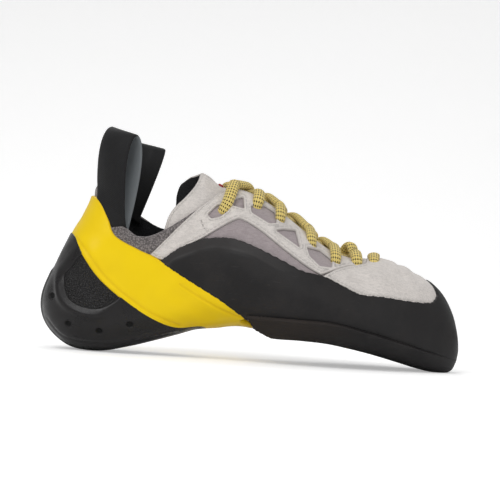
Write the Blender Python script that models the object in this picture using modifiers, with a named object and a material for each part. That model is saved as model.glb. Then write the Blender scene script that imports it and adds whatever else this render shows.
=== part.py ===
"""Lace-up climbing shoe for the right foot, downturned, standing empty on heel and toe.

The frame has +X from heel to toe, +Y to the medial side and +Z up, in metres. Every shell is worked out
from one surface, the outside of the upper on its last: S(s, t), where s counts the rows of LAST from the
back of the collar round the heel and forward to the toe, and t runs from the lateral edge (-1) under the
foot (0) to the medial edge (1). Beyond the edges t goes on to 2, where the section would close over the
instep; the tongue and the lace follow that part. Outlines are side views, as shares of length and height.
"""
import math

import bmesh
import bpy
import numpy as np
from mathutils import Vector

# Driving dimensions, in metres
LENGTH = 0.251
HEIGHT = 0.100
BALL_WIDTH = 0.083
HEEL_WIDTH = 0.055
WALL = 0.0020
GAP = 0.0003
SOLE_THICKNESS = 0.0045
CUP_THICKNESS = 0.0030
RAND_THICKNESS = 0.0022
BAND_THICKNESS = 0.0020
SUEDE_THICKNESS = 0.0012
TONGUE_THICKNESS = 0.0025
INSOLE_THICKNESS = 0.0025
WEBBING_THICKNESS = 0.0016
LACE_DIAMETER = 0.0062
LACE_CLEARANCE = 0.0016
LACE_DIP = 0.0028
EYELET_DIAMETER = 0.0050
LOOP_SPREAD = 0.0045
LOOP_SEAT = 0.0034
HALF_REACH = 0.080
UNDER_REACH = 0.020
PUNCH_LENGTH = 0.012
SPLIT_LAP = 0.0006

# Shares of the length: where the heel's width and sole end and the ball's begin, the tension band's front
# and rear end under the arch, and the ends of the outsole's cutter
HEEL_END = 0.36
BALL_START = 0.53
BAND_FRONT = 0.508
BAND_REAR = 0.408
SOLE_CUT_REAR = 0.575
SOLE_CUT_FRONT = 1.06

# The last, a row for each section: its lowest point, its lateral and medial edges in the side view, the
# centre line and both half widths, the level of the widest place, how square it is below and how shut above
COLUMNS = ("x_low", "z_low", "x_lat", "z_lat", "x_med", "z_med",
           "mid", "lat", "med", "level", "square", "shut")
LAST = (
    (0.120, 0.952, 0.201, 0.677, 0.189, 0.842, 0.000, 0.436, 0.436, 0.80, 2.0, 0.300),
    (0.106, 0.822, 0.209, 0.665, 0.199, 0.820, 0.000, 0.451, 0.451, 0.74, 2.0, 0.350),
    (0.073, 0.663, 0.219, 0.658, 0.211, 0.797, 0.000, 0.473, 0.473, 0.65, 2.1, 0.400),
    (0.040, 0.467, 0.229, 0.657, 0.223, 0.779, 0.000, 0.491, 0.491, 0.55, 2.2, 0.450),
    (0.013, 0.267, 0.239, 0.660, 0.235, 0.763, 0.000, 0.500, 0.500, 0.50, 2.2, 0.450),
    (0.027, 0.123, 0.246, 0.664, 0.244, 0.750, 0.000, 0.505, 0.500, 0.42, 2.4, 0.450),
    (0.080, 0.016, 0.253, 0.670, 0.253, 0.739, 0.000, 0.507, 0.496, 0.36, 2.7, 0.450),
    (0.143, -0.005, 0.267, 0.686, 0.271, 0.723, 0.000, 0.509, 0.491, 0.33, 3.0, 0.460),
    (0.211, 0.031, 0.283, 0.709, 0.289, 0.723, 0.000, 0.513, 0.488, 0.31, 2.9, 0.500),
    (0.275, 0.079, 0.305, 0.743, 0.309, 0.750, 0.005, 0.520, 0.480, 0.29, 2.7, 0.550),
    (0.327, 0.122, 0.335, 0.800, 0.337, 0.805, 0.008, 0.535, 0.465, 0.28, 2.6, 0.610),
    (0.371, 0.159, 0.371, 0.868, 0.371, 0.868, 0.012, 0.522, 0.442, 0.27, 2.5, 0.700),
    (0.426, 0.174, 0.416, 0.950, 0.416, 0.950, 0.016, 0.500, 0.395, 0.26, 2.5, 0.930),
    (0.486, 0.177, 0.470, 0.951, 0.470, 0.951, 0.022, 0.482, 0.361, 0.25, 2.6, 0.965),
    (0.550, 0.143, 0.534, 0.868, 0.534, 0.868, 0.030, 0.488, 0.359, 0.25, 2.7, 0.965),
    (0.622, 0.140, 0.602, 0.750, 0.602, 0.750, 0.045, 0.536, 0.395, 0.26, 2.8, 0.970),
    (0.685, 0.132, 0.669, 0.638, 0.669, 0.638, 0.058, 0.551, 0.443, 0.28, 2.8, 0.975),
    (0.741, 0.111, 0.725, 0.591, 0.725, 0.591, 0.071, 0.534, 0.465, 0.30, 2.8, 0.982),
    (0.785, 0.090, 0.773, 0.594, 0.773, 0.594, 0.084, 0.506, 0.458, 0.31, 2.8, 0.995),
    (0.817, 0.072, 0.805, 0.598, 0.805, 0.598, 0.096, 0.476, 0.434, 0.31, 2.8, 1.000),
    (0.861, 0.045, 0.853, 0.567, 0.853, 0.567, 0.112, 0.410, 0.383, 0.31, 2.8, 1.000),
    (0.904, 0.018, 0.900, 0.508, 0.900, 0.508, 0.128, 0.330, 0.322, 0.31, 2.9, 1.000),
    (0.940, 0.001, 0.942, 0.422, 0.942, 0.422, 0.142, 0.245, 0.246, 0.31, 3.0, 1.000),
    (0.968, -0.004, 0.970, 0.299, 0.970, 0.299, 0.151, 0.160, 0.174, 0.32, 3.0, 1.000),
    (0.984, 0.022, 0.985, 0.177, 0.985, 0.177, 0.156, 0.087, 0.096, 0.40, 2.6, 1.000),
    (0.990, 0.082, 0.990, 0.082, 0.990, 0.082, 0.157, 0.000, 0.000, 0.50, 2.0, 1.000),
)
TOE = len(LAST) - 1

# The grid that all shells share, closer in rows round the heel and the toe, and along a section
S_GRID = np.concatenate([np.arange(0, 3), np.arange(3, 8, 0.5), np.arange(8, 21),
                         np.arange(21, TOE + 0.1, 0.5)])
T_GRID = np.linspace(-1, 1, 17)

# Places across the tongue's ridge, between those that it shares with the grid
RIDGE_PLACES = (-0.6, -0.25, 0.0, 0.25, 0.6)

# The upper is open under the foot between these rows, as wide as this share of a section
SOLE_OPENING = (14.0, 22.5, 0.25)

# Side-view outlines, as shares of length and height
SOLE_TOP = ((0.508, 0.218), (0.604, 0.214), (0.696, 0.210), (0.778, 0.166), (0.875, 0.105),
            (0.937, 0.067), (0.996, 0.039), (1.060, 0.028))
SOLE_HEEL_BEVEL = ((0.556, 0.060), (0.549, 0.092), (0.508, 0.146))
RAND_TOP = ((0.288, 0.546), (0.321, 0.612), (0.355, 0.653), (0.388, 0.680), (0.443, 0.684), (0.496, 0.643),
            (0.569, 0.563), (0.612, 0.515), (0.662, 0.492), (0.707, 0.445), (0.751, 0.400),
            (0.806, 0.392), (0.871, 0.375), (0.922, 0.365))
TOE_TOP_LATERAL = ((0.938, 0.431), (0.926, 0.500), (0.905, 0.620), (1.060, 0.620))
TOE_TOP_MEDIAL = ((0.930, 0.430), (0.900, 0.480), (0.880, 0.620), (1.060, 0.620))
BAND_TOP = ((0.040, 0.935), (0.109, 0.889), (0.132, 0.845), (0.153, 0.753), (0.173, 0.660), (0.226, 0.592),
            (0.273, 0.543), (0.353, 0.431), (0.431, 0.322), (0.508, 0.218))
BAND_LOW = ((-0.020, 0.700), (0.063, 0.642), (0.092, 0.542), (0.140, 0.396), (0.204, 0.272), (0.268, 0.178),
            (0.326, 0.130), (0.390, 0.138), (0.408, 0.050))
EYESTAY_LOW = ((0.262, 0.574), (0.290, 0.562), (0.321, 0.612), (0.375, 0.676), (0.408, 0.733), (0.447, 0.792),
               (0.467, 0.794), (0.510, 0.735), (0.567, 0.632), (0.625, 0.538), (0.662, 0.492))
EYESTAY_FRONT = ((0.700, 0.545), (0.745, 0.572), (0.790, 0.590), (0.800, 0.750))
TOE_RIDGE = 0.13
VAMP_REAR = ((0.674, 0.502),)
EYESTAY_REAR = ((0.440, 1.100), (0.404, 0.985), (0.371, 0.880))
CUT_OUTS = (
    ((0.386, 0.820), (0.402, 0.878), (0.424, 0.877), (0.432, 0.828), (0.396, 0.802)),
    ((0.448, 0.938), (0.463, 0.940), (0.465, 0.865), (0.443, 0.878)),
    ((0.485, 0.880), (0.486, 0.839), (0.528, 0.783), (0.550, 0.784), (0.544, 0.852), (0.516, 0.908)),
    ((0.552, 0.742), (0.593, 0.748), (0.603, 0.646)),
    ((0.624, 0.643), (0.629, 0.595), (0.657, 0.552), (0.704, 0.560), (0.675, 0.602), (0.635, 0.653)),
)
TONGUE_OUTLINE = ((0.350, 1.120), (0.360, 1.070), (0.333, 1.010), (0.309, 0.930), (0.290, 0.830),
                  (0.284, 0.640), (0.330, 0.700), (0.385, 0.800), (0.440, 0.880), (0.500, 0.840),
                  (0.580, 0.690), (0.650, 0.560), (0.705, 0.510), (0.790, 0.530), (0.795, 0.700),
                  (0.600, 1.000))
EYELETS = ((0.748, 0.562), (0.690, 0.568), (0.634, 0.655), (0.555, 0.795), (0.500, 0.876), (0.418, 0.836))

# A pull loop: its side, its stretch of the collar edge from the middle of the back as shares of the length,
# the heights of its top's rear and front corners as shares of the height, and its forward lean
LOOPS = {
    "pull_loop_lateral": (-1, 0.045, 0.165, 1.307, 1.260, 0.06),
    "pull_loop_medial": (1, 0.085, 0.180, 1.242, 1.207, 0.30),
}

COLOURS = {
    "rubber": ((0.032, 0.030, 0.031), 0.55),
    "cup_rubber": ((0.030, 0.029, 0.030), 0.42),
    "band_rubber": ((0.890, 0.665, 0.006), 0.45),
    "suede_light": ((0.630, 0.600, 0.570), 0.90),
    "suede_mauve": ((0.355, 0.310, 0.320), 0.90),
    "webbing": ((0.020, 0.020, 0.021), 0.60),
    "lace_cord": ((0.850, 0.640, 0.160), 0.80),
    "insole_cloth": ((0.060, 0.058, 0.060), 0.90),
}


def clear_scene():
    for obj in list(bpy.data.objects):
        bpy.data.objects.remove(obj, do_unlink=True)


def make_collection(name):
    collection = bpy.data.collections.new(name)
    bpy.context.scene.collection.children.link(collection)
    return collection


def material(name):
    """A plain Principled material with its colour and roughness from COLOURS."""
    colour, roughness = COLOURS[name]
    made = bpy.data.materials.new(name)
    made.use_nodes = True
    shader = made.node_tree.nodes["Principled BSDF"]
    shader.inputs["Base Color"].default_value = (*colour, 1.0)
    shader.inputs["Roughness"].default_value = roughness
    return made


def forward_share(x):
    """0 as far as the heel goes, 1 from the ball on, for a share of the length."""
    return np.clip((x - HEEL_END) / (BALL_START - HEEL_END), 0.0, 1.0)


def side_view(x, z):
    """Metres in the side view, above the heel cup at the back and above the outsole in front."""
    lift = GAP + CUP_THICKNESS + (SOLE_THICKNESS - CUP_THICKNESS) * forward_share(x)
    return LENGTH * x, HEIGHT * z + lift


def last_row(s):
    """The columns of LAST at row s, on a Catmull-Rom curve through the rows."""
    table = np.array(LAST)
    base = np.clip(np.floor(s).astype(int), 0, TOE - 1)
    f = (s - base)[..., None]
    before, start, end, after = (table[np.clip(base + k, 0, TOE)] for k in (-1, 0, 1, 2))
    values = 0.5 * (2 * start + (end - before) * f + (2 * before - 5 * start + 4 * end - after) * f**2
                    + (3 * start - before - 3 * end + after) * f**3)
    return dict(zip(COLUMNS, np.moveaxis(values, -1, 0)))


def section_point(s, t):
    """S(s, t): a superellipse from the lowest point to the widest, then an ellipse up to the edge."""
    row = last_row(s)
    along = np.abs(t)
    lower = np.clip(along / 0.5, 0, 1) * math.pi / 2
    shut = np.clip(row["shut"], 0.05, 1.0)
    edge = np.arcsin(shut)
    upper = np.clip((along - 0.5) / 0.5, 0, 1) * edge + np.clip(along - 1, 0, 1) * (math.pi / 2 - edge)
    power = 2 / row["square"]
    wide = np.sin(lower) ** power * np.cos(upper)
    high = row["level"] * (1 - np.clip(np.cos(lower), 0, 1) ** power)
    high = high + (1 - row["level"]) / shut * np.sin(upper)
    medial = t > 0
    x_low, z_low = side_view(row["x_low"], row["z_low"])
    x_edge, z_edge = side_view(np.where(medial, row["x_med"], row["x_lat"]),
                               np.where(medial, row["z_med"], row["z_lat"]))
    share = forward_share(row["x_low"])
    width = HEEL_WIDTH + (BALL_WIDTH - HEEL_WIDTH) * share
    half = np.where(medial, row["med"], -row["lat"]) * width
    return np.stack([x_low + (x_edge - x_low) * high,
                     row["mid"] * BALL_WIDTH + half * wide,
                     z_low + (z_edge - z_low) * high], axis=-1)


def last_normal(s, t):
    """Outward unit normal of the last, from differences along both parameters."""
    step = 0.002
    inner = np.minimum(s, TOE - 0.05)
    along_s = section_point(np.minimum(inner + step, TOE), t) - section_point(np.maximum(inner - step, 0), t)
    along_t = (section_point(inner, np.clip(t + step, -2, 2))
               - section_point(inner, np.clip(t - step, -2, 2)))
    normal = np.cross(along_t, along_s)
    normal = normal / np.linalg.norm(normal, axis=-1, keepdims=True)
    tip = (s >= TOE)[..., None]
    return np.where(tip, np.array((1.0, 0.0, 0.0)), normal)


def last_surface(s, t, offset=0.0):
    """Points of the last's surface, moved out by the offset."""
    s, t = np.broadcast_arrays(np.asarray(s, float), np.asarray(t, float))
    return section_point(s, t) + last_normal(s, t) * np.asarray(offset, float)[..., None]


def over_instep(s, v, offset):
    """The last closed over the instep: v is 0 on the ridge, -1 at the lateral edge and 1 at the medial."""
    t = np.where(np.asarray(v) < 0, -1.0, 1.0) * (2 - np.abs(v))
    return last_surface(s, t, offset)


def place_on_last(x, z, side):
    """Row s and place t of a side-view point on the lateral (-1) or medial (1) wall."""
    s, t = np.meshgrid(np.linspace(5, TOE - 1, 400), np.linspace(0.5, 1.0, 200), indexing="ij")
    points = section_point(s, t * side)
    target_x, target_z = side_view(x, z)
    nearest = np.argmin((points[..., 0] - target_x) ** 2 + (points[..., 2] - target_z) ** 2)
    return s.flat[nearest], t.flat[nearest] * side


def grid_object(name, points, collection, kept=None):
    """A triangulated open surface over a grid of points, facing away from the foot."""
    rows, columns = points.shape[:2]
    index = np.arange(rows * columns).reshape(rows, columns)
    corners = np.stack([index[:-1, :-1], index[:-1, 1:], index[1:, 1:], index[1:, :-1]], axis=-1)
    corners = corners.reshape(-1, 4) if kept is None else corners[kept]
    faces = np.concatenate([corners[:, [0, 1, 2]], corners[:, [0, 2, 3]]])
    mesh = bpy.data.meshes.new(name)
    mesh.from_pydata(points.reshape(-1, 3).tolist(), [], faces.tolist())
    work = bmesh.new()
    work.from_mesh(mesh)
    bmesh.ops.remove_doubles(work, verts=work.verts, dist=0.00002)
    loose = [vertex for vertex in work.verts if not vertex.link_faces]
    bmesh.ops.delete(work, geom=loose, context="VERTS")
    work.to_mesh(mesh)
    work.free()
    obj = bpy.data.objects.new(name, mesh)
    collection.objects.link(obj)
    return obj


def thicken(obj, thickness, outward):
    """Solidify away from the foot, towards it, or (None) to both sides."""
    modifier = obj.modifiers.new("wall", "SOLIDIFY")
    modifier.thickness = thickness
    modifier.offset = {True: 1.0, False: -1.0, None: 0.0}[outward]


def cut(obj, cutter, operation, solver="EXACT"):
    modifier = obj.modifiers.new(cutter.name, "BOOLEAN")
    modifier.operation = operation
    modifier.solver = solver
    modifier.object = cutter


def as_cutter(obj, cutters):
    for collection in list(obj.users_collection):
        collection.objects.unlink(obj)
    cutters.objects.link(obj)
    obj.hide_render = True
    obj.display_type = "WIRE"
    return obj


def curve_to_mesh(curve_object, name):
    """A mesh object of a curve's evaluated shape, with its caps welded; the curve is removed."""
    bpy.context.view_layer.update()
    graph = bpy.context.evaluated_depsgraph_get()
    mesh = bpy.data.meshes.new_from_object(curve_object.evaluated_get(graph))
    work = bmesh.new()
    work.from_mesh(mesh)
    bmesh.ops.remove_doubles(work, verts=work.verts, dist=0.00001)
    work.to_mesh(mesh)
    work.free()
    obj = bpy.data.objects.new(name, mesh)
    obj.matrix_world = curve_object.matrix_world.copy()
    bpy.data.objects.remove(curve_object, do_unlink=True)
    return obj


def outline_cutter(name, outlines, y_low, y_high, cutters):
    """Side-view outlines, in metres, extruded across the shoe between two values of y."""
    curve = bpy.data.curves.new(name, "CURVE")
    curve.dimensions = "2D"
    curve.fill_mode = "BOTH"
    curve.extrude = (y_high - y_low) / 2
    for outline in outlines:
        spline = curve.splines.new("POLY")
        spline.points.add(len(outline) - 1)
        for point, (x, z) in zip(spline.points, outline):
            point.co = (x, z, 0.0, 1.0)
        spline.use_cyclic_u = True
    flat = bpy.data.objects.new(name + "_curve", curve)
    flat.rotation_euler = (math.pi / 2, 0.0, 0.0)
    flat.location = (0.0, (y_low + y_high) / 2, 0.0)
    cutters.objects.link(flat)
    made = curve_to_mesh(flat, name)
    cutters.objects.link(made)
    return as_cutter(made, cutters)


def in_metres(outline):
    return [side_view(x, z) for x, z in outline]


def moved_line(line, distance):
    """A side-view line in metres moved to its left by the distance, corners mitred."""
    points = np.array(line)
    along = np.gradient(points, axis=0)
    along = along / np.linalg.norm(along, axis=1, keepdims=True)
    left = np.stack([-along[:, 1], along[:, 0]], axis=1)
    return [tuple(point) for point in points + left * distance]


def edge_line(outline, distance):
    """An outline's shares in metres, moved left by the distance."""
    return moved_line(in_metres(outline), distance)


def shell(name, s_range, t_range, offset, thickness, collection, outward=True):
    """A piece of the shared grid over rows and places, at an offset from the last."""
    s = S_GRID[(S_GRID >= s_range[0]) & (S_GRID <= s_range[1])]
    t = T_GRID[(T_GRID >= t_range[0]) & (T_GRID <= t_range[1])]
    points = last_surface(s[:, None], t[None, :], offset)
    obj = grid_object(name, points, collection)
    thicken(obj, thickness, outward)
    return obj


def build_upper(parts):
    """One hollow wall: open at collar and throat, and under the foot where the outsole closes it."""
    points = last_surface(S_GRID[:, None], T_GRID[None, :])
    first, last, wide = SOLE_OPENING
    middle_s = (S_GRID[:-1] + S_GRID[1:])[:, None] / 2
    middle_t = (T_GRID[:-1] + T_GRID[1:])[None, :] / 2
    kept = ~((middle_s > first) & (middle_s < last) & (np.abs(middle_t) < wide))
    obj = grid_object("upper", points, parts, kept)
    thicken(obj, WALL, False)
    return obj


def build_insole(parts):
    return shell("insole", (5.0, 23.5), (-0.375, 0.375), -(WALL + GAP), INSOLE_THICKNESS, parts, False)


def build_tongue(parts, cutters):
    """An arch over the instep under both throat edges, trimmed to its side-view outline."""
    s = S_GRID[(S_GRID >= 8.0) & (S_GRID <= 18.0)]
    beside = 2 - T_GRID[T_GRID >= 0.5]
    v = np.concatenate([-beside, RIDGE_PLACES, beside[::-1]])
    points = over_instep(s[:, None], v[None, :], -(WALL + GAP))
    obj = grid_object("tongue", points[:, ::-1], parts)
    thicken(obj, TONGUE_THICKNESS, False)
    trim = outline_cutter("tongue_outline", [in_metres(TONGUE_OUTLINE)], -HALF_REACH, HALF_REACH, cutters)
    cut(obj, trim, "INTERSECT", "MANIFOLD")
    return obj


def build_outsole(parts, cutters, floor):
    """The half sole under the forefoot, bevelled off towards the arch."""
    obj = shell("outsole", (13.0, TOE), (-0.5, 0.5), GAP, SOLE_THICKNESS, parts)
    top = edge_line(SOLE_TOP, -GAP / 2)
    bevel = in_metres(SOLE_HEEL_BEVEL)
    under = [(LENGTH * SOLE_CUT_FRONT, -UNDER_REACH), (LENGTH * SOLE_CUT_REAR, -UNDER_REACH)]
    trim = outline_cutter("outsole_outline", [top + under + bevel], -HALF_REACH, HALF_REACH, cutters)
    cut(obj, trim, "INTERSECT")
    cut(obj, floor, "DIFFERENCE")
    return obj


def build_rand(parts, cutters):
    """The side and toe rand: its top lies higher on the medial side of the toe's ridge. Both outlines lap
    each other there, so that they join."""
    obj = shell("toe_rand", (8.0, TOE), (-1.0, 1.0), GAP, RAND_THICKNESS, parts)
    ridge = BALL_WIDTH * TOE_RIDGE
    low = edge_line(SOLE_TOP, GAP / 2)[::-1] + edge_line(BAND_TOP[6:-1], GAP / 2)[::-1]
    halves = []
    for name, top, y_low, y_high in (("rand_outline_lateral", TOE_TOP_LATERAL, -HALF_REACH, ridge),
                                     ("rand_outline_medial", TOE_TOP_MEDIAL, ridge - SPLIT_LAP, HALF_REACH)):
        halves.append(outline_cutter(name, [in_metres(RAND_TOP + top) + low], y_low, y_high, cutters))
    cut(halves[0], halves[1], "UNION")
    cut(obj, halves[0], "INTERSECT")
    return obj


def build_band(parts, cutters):
    """The tension band from the back of the heel down both sides to the arch."""
    obj = shell("tension_band", (0.0, 14.0), (-1.0, 1.0), GAP, BAND_THICKNESS, parts)
    top = edge_line(BAND_TOP, -GAP / 2)
    low = edge_line(BAND_LOW, GAP / 2)[::-1]
    end = LENGTH * BAND_FRONT - GAP
    front = [(end, HEIGHT * 0.2), (end, -UNDER_REACH), (LENGTH * BAND_REAR, -UNDER_REACH)]
    trim = outline_cutter("band_outline", [top[:-1] + front + low], -HALF_REACH, HALF_REACH, cutters)
    cut(obj, trim, "INTERSECT")
    return obj


def build_heel_cup(parts, cutters, floor):
    obj = shell("heel_cup", (1.0, 13.0), (-0.8, 0.8), GAP, CUP_THICKNESS, parts)
    top = edge_line(BAND_LOW, -GAP / 2)
    under = [(LENGTH * BAND_REAR - GAP, -UNDER_REACH), (-UNDER_REACH, -UNDER_REACH)]
    trim = outline_cutter("cup_outline", [top + under], -HALF_REACH, HALF_REACH, cutters)
    cut(obj, trim, "INTERSECT")
    cut(obj, floor, "DIFFERENCE")
    return obj


def build_eyestay(name, side, parts, cutters, punch):
    """The lattice beside the throat, with its windows and eyelets."""
    t_range = (-1.0, -0.5) if side < 0 else (0.5, 1.0)
    obj = shell(name, (7.0, 19.0), t_range, GAP, SUEDE_THICKNESS, parts)
    low = edge_line(EYESTAY_LOW, GAP / 2)
    front = edge_line(EYESTAY_FRONT, GAP / 2)
    outline = low[:-1] + front + in_metres(EYESTAY_REAR)
    trim = outline_cutter(name + "_outline", [outline], -HALF_REACH, HALF_REACH, cutters)
    cut(obj, trim, "INTERSECT")
    windows = outline_cutter(name + "_windows", [in_metres(hole) for hole in CUT_OUTS],
                             -HALF_REACH, HALF_REACH, cutters)
    cut(obj, windows, "DIFFERENCE")
    cut(obj, punch, "DIFFERENCE")
    return obj


def build_vamp(parts, cutters):
    """The suede over the toes, between the eyestays and the rand."""
    obj = shell("vamp", (15.0, 23.5), (-1.0, 1.0), GAP, SUEDE_THICKNESS, parts)
    seam = edge_line(VAMP_REAR + EYESTAY_FRONT, -GAP / 2)
    ridge = BALL_WIDTH * TOE_RIDGE - SPLIT_LAP - GAP
    halves = []
    for name, top, y_low, y_high in (("vamp_outline_lateral", TOE_TOP_LATERAL, -HALF_REACH, ridge),
                                     ("vamp_outline_medial", TOE_TOP_MEDIAL, ridge - SPLIT_LAP, HALF_REACH)):
        low = edge_line(RAND_TOP[8:] + top[:-1], GAP)[:0:-1]
        halves.append(outline_cutter(name, [seam + low], y_low, y_high, cutters))
    cut(halves[0], halves[1], "UNION")
    cut(obj, halves[0], "INTERSECT")
    return obj


def build_punch(cutters):
    """Cylinders through the eyestays and the upper at each eyelet, as one cutter."""
    work = bmesh.new()
    for side in (-1, 1):
        for x, z in EYELETS:
            s, t = place_on_last(x, z, side)
            centre = last_surface(s, t)
            normal = last_normal(np.asarray(s), np.asarray(t))
            turn = rotation_to(normal)
            made = bmesh.ops.create_cone(work, cap_ends=True, segments=6, radius1=EYELET_DIAMETER / 2,
                                         radius2=EYELET_DIAMETER / 2, depth=PUNCH_LENGTH)
            bmesh.ops.rotate(work, verts=made["verts"], matrix=turn)
            bmesh.ops.translate(work, verts=made["verts"], vec=centre.tolist())
    mesh = bpy.data.meshes.new("eyelet_punch")
    work.to_mesh(mesh)
    work.free()
    obj = bpy.data.objects.new("eyelet_punch", mesh)
    cutters.objects.link(obj)
    return as_cutter(obj, cutters)


def rotation_to(direction):
    """The rotation that takes +Z to a direction."""
    return Vector((0, 0, 1)).rotation_difference(Vector(direction.tolist())).to_matrix()


def tube(name, points, diameter, cutters):
    """A cord along points: a POLY curve with a round bevel, turned into a mesh."""
    curve = bpy.data.curves.new(name, "CURVE")
    curve.dimensions = "3D"
    curve.bevel_depth = diameter / 2
    curve.bevel_resolution = 1
    curve.use_fill_caps = True
    spline = curve.splines.new("POLY")
    spline.points.add(len(points) - 1)
    for point, co in zip(spline.points, points):
        point.co = (*co, 1.0)
    obj = bpy.data.objects.new(name + "_curve", curve)
    cutters.objects.link(obj)
    return curve_to_mesh(obj, name)


def build_lace(parts, cutters):
    """Crossings between the eyelets, joined: each strand follows the instep above the eyestays."""
    clear = GAP + SUEDE_THICKNESS + LACE_DIAMETER / 2 + LACE_CLEARANCE
    holes = {side: [place_on_last(x, z, side) for x, z in EYELETS] for side in (-1, 1)}
    strands = [(-1, 0, 1, 0, 0.0)]
    for k in range(len(EYELETS) - 1):
        strands.append((-1, k, 1, k + 1, 0.0004))
        strands.append((1, k, -1, k + 1, 0.0))
    made = []
    for number, (side_a, a, side_b, b, lift) in enumerate(strands):
        (s_a, t_a), (s_b, t_b) = holes[side_a][a], holes[side_b][b]
        f = 0.5 - 0.5 * np.cos(np.linspace(0, math.pi, 9))
        v_a = side_a * (2 - abs(t_a))
        v_b = side_b * (2 - abs(t_b))
        v = v_a + (v_b - v_a) * f
        offset = clear + lift - LACE_DIP * np.cos(np.clip(v, -1, 1) * math.pi / 2) ** 2
        points = over_instep(s_a + (s_b - s_a) * f, v, offset)
        made.append(tube("lace" if number == 0 else "strand_%02d" % number, points.tolist(),
                         LACE_DIAMETER, cutters))
    lace = made[0]
    parts.objects.link(lace)
    for strand in made[1:]:
        cutters.objects.link(strand)
        cut(lace, as_cutter(strand, cutters), "UNION")
    return lace


def collar_edge(side):
    """Points along the collar edge from the middle of the back, with outward normals and run lengths."""
    s = np.concatenate([np.zeros(40), np.linspace(0, 6, 60)])
    t = np.concatenate([np.linspace(0, 0.98, 40), np.ones(60)]) * side
    points = last_surface(s, t)
    run = np.concatenate([[0], np.cumsum(np.linalg.norm(np.diff(points, axis=0), axis=1))])
    return points, last_normal(s, t), run


def along_run(run, values, places):
    return np.stack([np.interp(places, run, values[:, k]) for k in range(3)], axis=1)


def unit(vectors):
    return vectors / np.linalg.norm(vectors, axis=-1, keepdims=True)


def build_pull_loop(name, parts, collar_room):
    """Webbing folded over the collar edge: up from the outside, over and down on the inside."""
    side, start, end, top_rear, top_front, lean = LOOPS[name]
    edge, normals, run = collar_edge(side)
    places = np.linspace(start, end, 5) * LENGTH
    base = along_run(run, edge, places)
    chord = base[-1] - base[0]
    level = unit(np.array((-side * chord[1], side * chord[0], 0.0)))
    normal = unit(along_run(run, normals, places) + level * 2)
    down = np.array((0.0, 0.0, -1.0)) + normal * normal[:, 2:]
    outer = GAP * 2 + WEBBING_THICKNESS / 2
    inner = -(WALL + GAP * 2 + WEBBING_THICKNESS / 2)
    top = side_view(0.2, np.linspace(top_rear, top_front, len(places)))[1] - WEBBING_THICKNESS / 2
    rise = (top - base[:, 2])[:, None]
    upward = np.array((lean, 0.0, 1.0))
    rows = [base + normal * outer + down * drop for drop in (LOOP_SEAT, LOOP_SEAT / 2)]
    for angle in np.linspace(0, math.pi, 13):
        across = (outer + inner) / 2 + (outer - inner) / 2 * math.cos(angle)
        spread = LOOP_SPREAD * math.sin(2 * angle)
        rows.append(base + normal * across + level * spread + upward * rise * math.sin(angle))
    rows.append(base + normal * inner + down * LOOP_SEAT / 2)
    points = np.array(rows)
    if side > 0:
        points = points[:, ::-1]
    obj = grid_object(name, points, parts)
    thicken(obj, WEBBING_THICKNESS, None)
    cut(obj, collar_room, "DIFFERENCE", "MANIFOLD")
    return obj


def build_collar_room(cutters):
    """The collar's wall with its gap on both sides, kept free of the pull loops."""
    obj = shell("collar_room", (0.0, 6.0), (-1.0, 1.0), GAP, WALL + 2 * GAP, cutters, False)
    return as_cutter(obj, cutters)


def floor_cutter(cutters):
    """A slab below the floor, which flattens what stands on it."""
    depth = 2 * UNDER_REACH
    bpy.ops.mesh.primitive_cube_add(size=1.0, location=(LENGTH / 2, 0.0, -depth / 2))
    slab = bpy.context.active_object
    slab.name = "floor_slab"
    slab.scale = (LENGTH + 2 * HALF_REACH, 4 * HALF_REACH, depth)
    bpy.ops.object.transform_apply(location=False, rotation=False, scale=True)
    return as_cutter(slab, cutters)


def centre_on_floor(parts):
    """Parent every piece to an empty that puts the origin under the middle of the shoe's box."""
    bpy.context.view_layer.update()
    graph = bpy.context.evaluated_depsgraph_get()
    corners = []
    for obj in parts.objects:
        mesh = obj.evaluated_get(graph).to_mesh()
        points = np.empty(len(mesh.vertices) * 3)
        mesh.vertices.foreach_get("co", points)
        corners.append(points.reshape(-1, 3))
    points = np.concatenate(corners)
    middle = (points.min(axis=0) + points.max(axis=0)) / 2
    shoe = bpy.data.objects.new("shoe", None)
    shoe.location = (-middle[0], -middle[1], 0.0)
    bpy.context.scene.collection.objects.link(shoe)
    for collection in bpy.data.collections:
        for obj in collection.objects:
            obj.parent = shoe


def main():
    clear_scene()
    parts = make_collection("climbing_shoe")
    cutters = make_collection("cutters")
    floor = floor_cutter(cutters)
    punch = build_punch(cutters)
    collar_room = build_collar_room(cutters)
    upper = build_upper(parts)
    cut(upper, punch, "DIFFERENCE")
    pieces = (
        (upper, "suede_mauve"),
        (build_insole(parts), "insole_cloth"),
        (build_tongue(parts, cutters), "suede_light"),
        (build_outsole(parts, cutters, floor), "rubber"),
        (build_rand(parts, cutters), "rubber"),
        (build_band(parts, cutters), "band_rubber"),
        (build_heel_cup(parts, cutters, floor), "cup_rubber"),
        (build_vamp(parts, cutters), "suede_light"),
        (build_eyestay("eyestay_lateral", -1, parts, cutters, punch), "suede_light"),
        (build_eyestay("eyestay_medial", 1, parts, cutters, punch), "suede_light"),
        (build_pull_loop("pull_loop_lateral", parts, collar_room), "webbing"),
        (build_pull_loop("pull_loop_medial", parts, collar_room), "webbing"),
        (build_lace(parts, cutters), "lace_cord"),
    )
    for obj, slot in pieces:
        obj.data.materials.append(bpy.data.materials.get(slot) or material(slot))
    centre_on_floor(parts)


main()
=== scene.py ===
"""Looks of a lace-up climbing shoe, right foot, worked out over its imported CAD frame.

Every skin lies on one surface, the outside of the upper on its last: rows s run from the back of the collar
round the heel to the toe, places t from the lateral edge (-1) under the foot (0) to the medial edge (1), and
on to 2 where a section would close over the instep. Outlines are side views in shares of length and height.
"""
import math

import bmesh
import bpy
import numpy as np
from mathutils import Matrix, Vector


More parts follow.
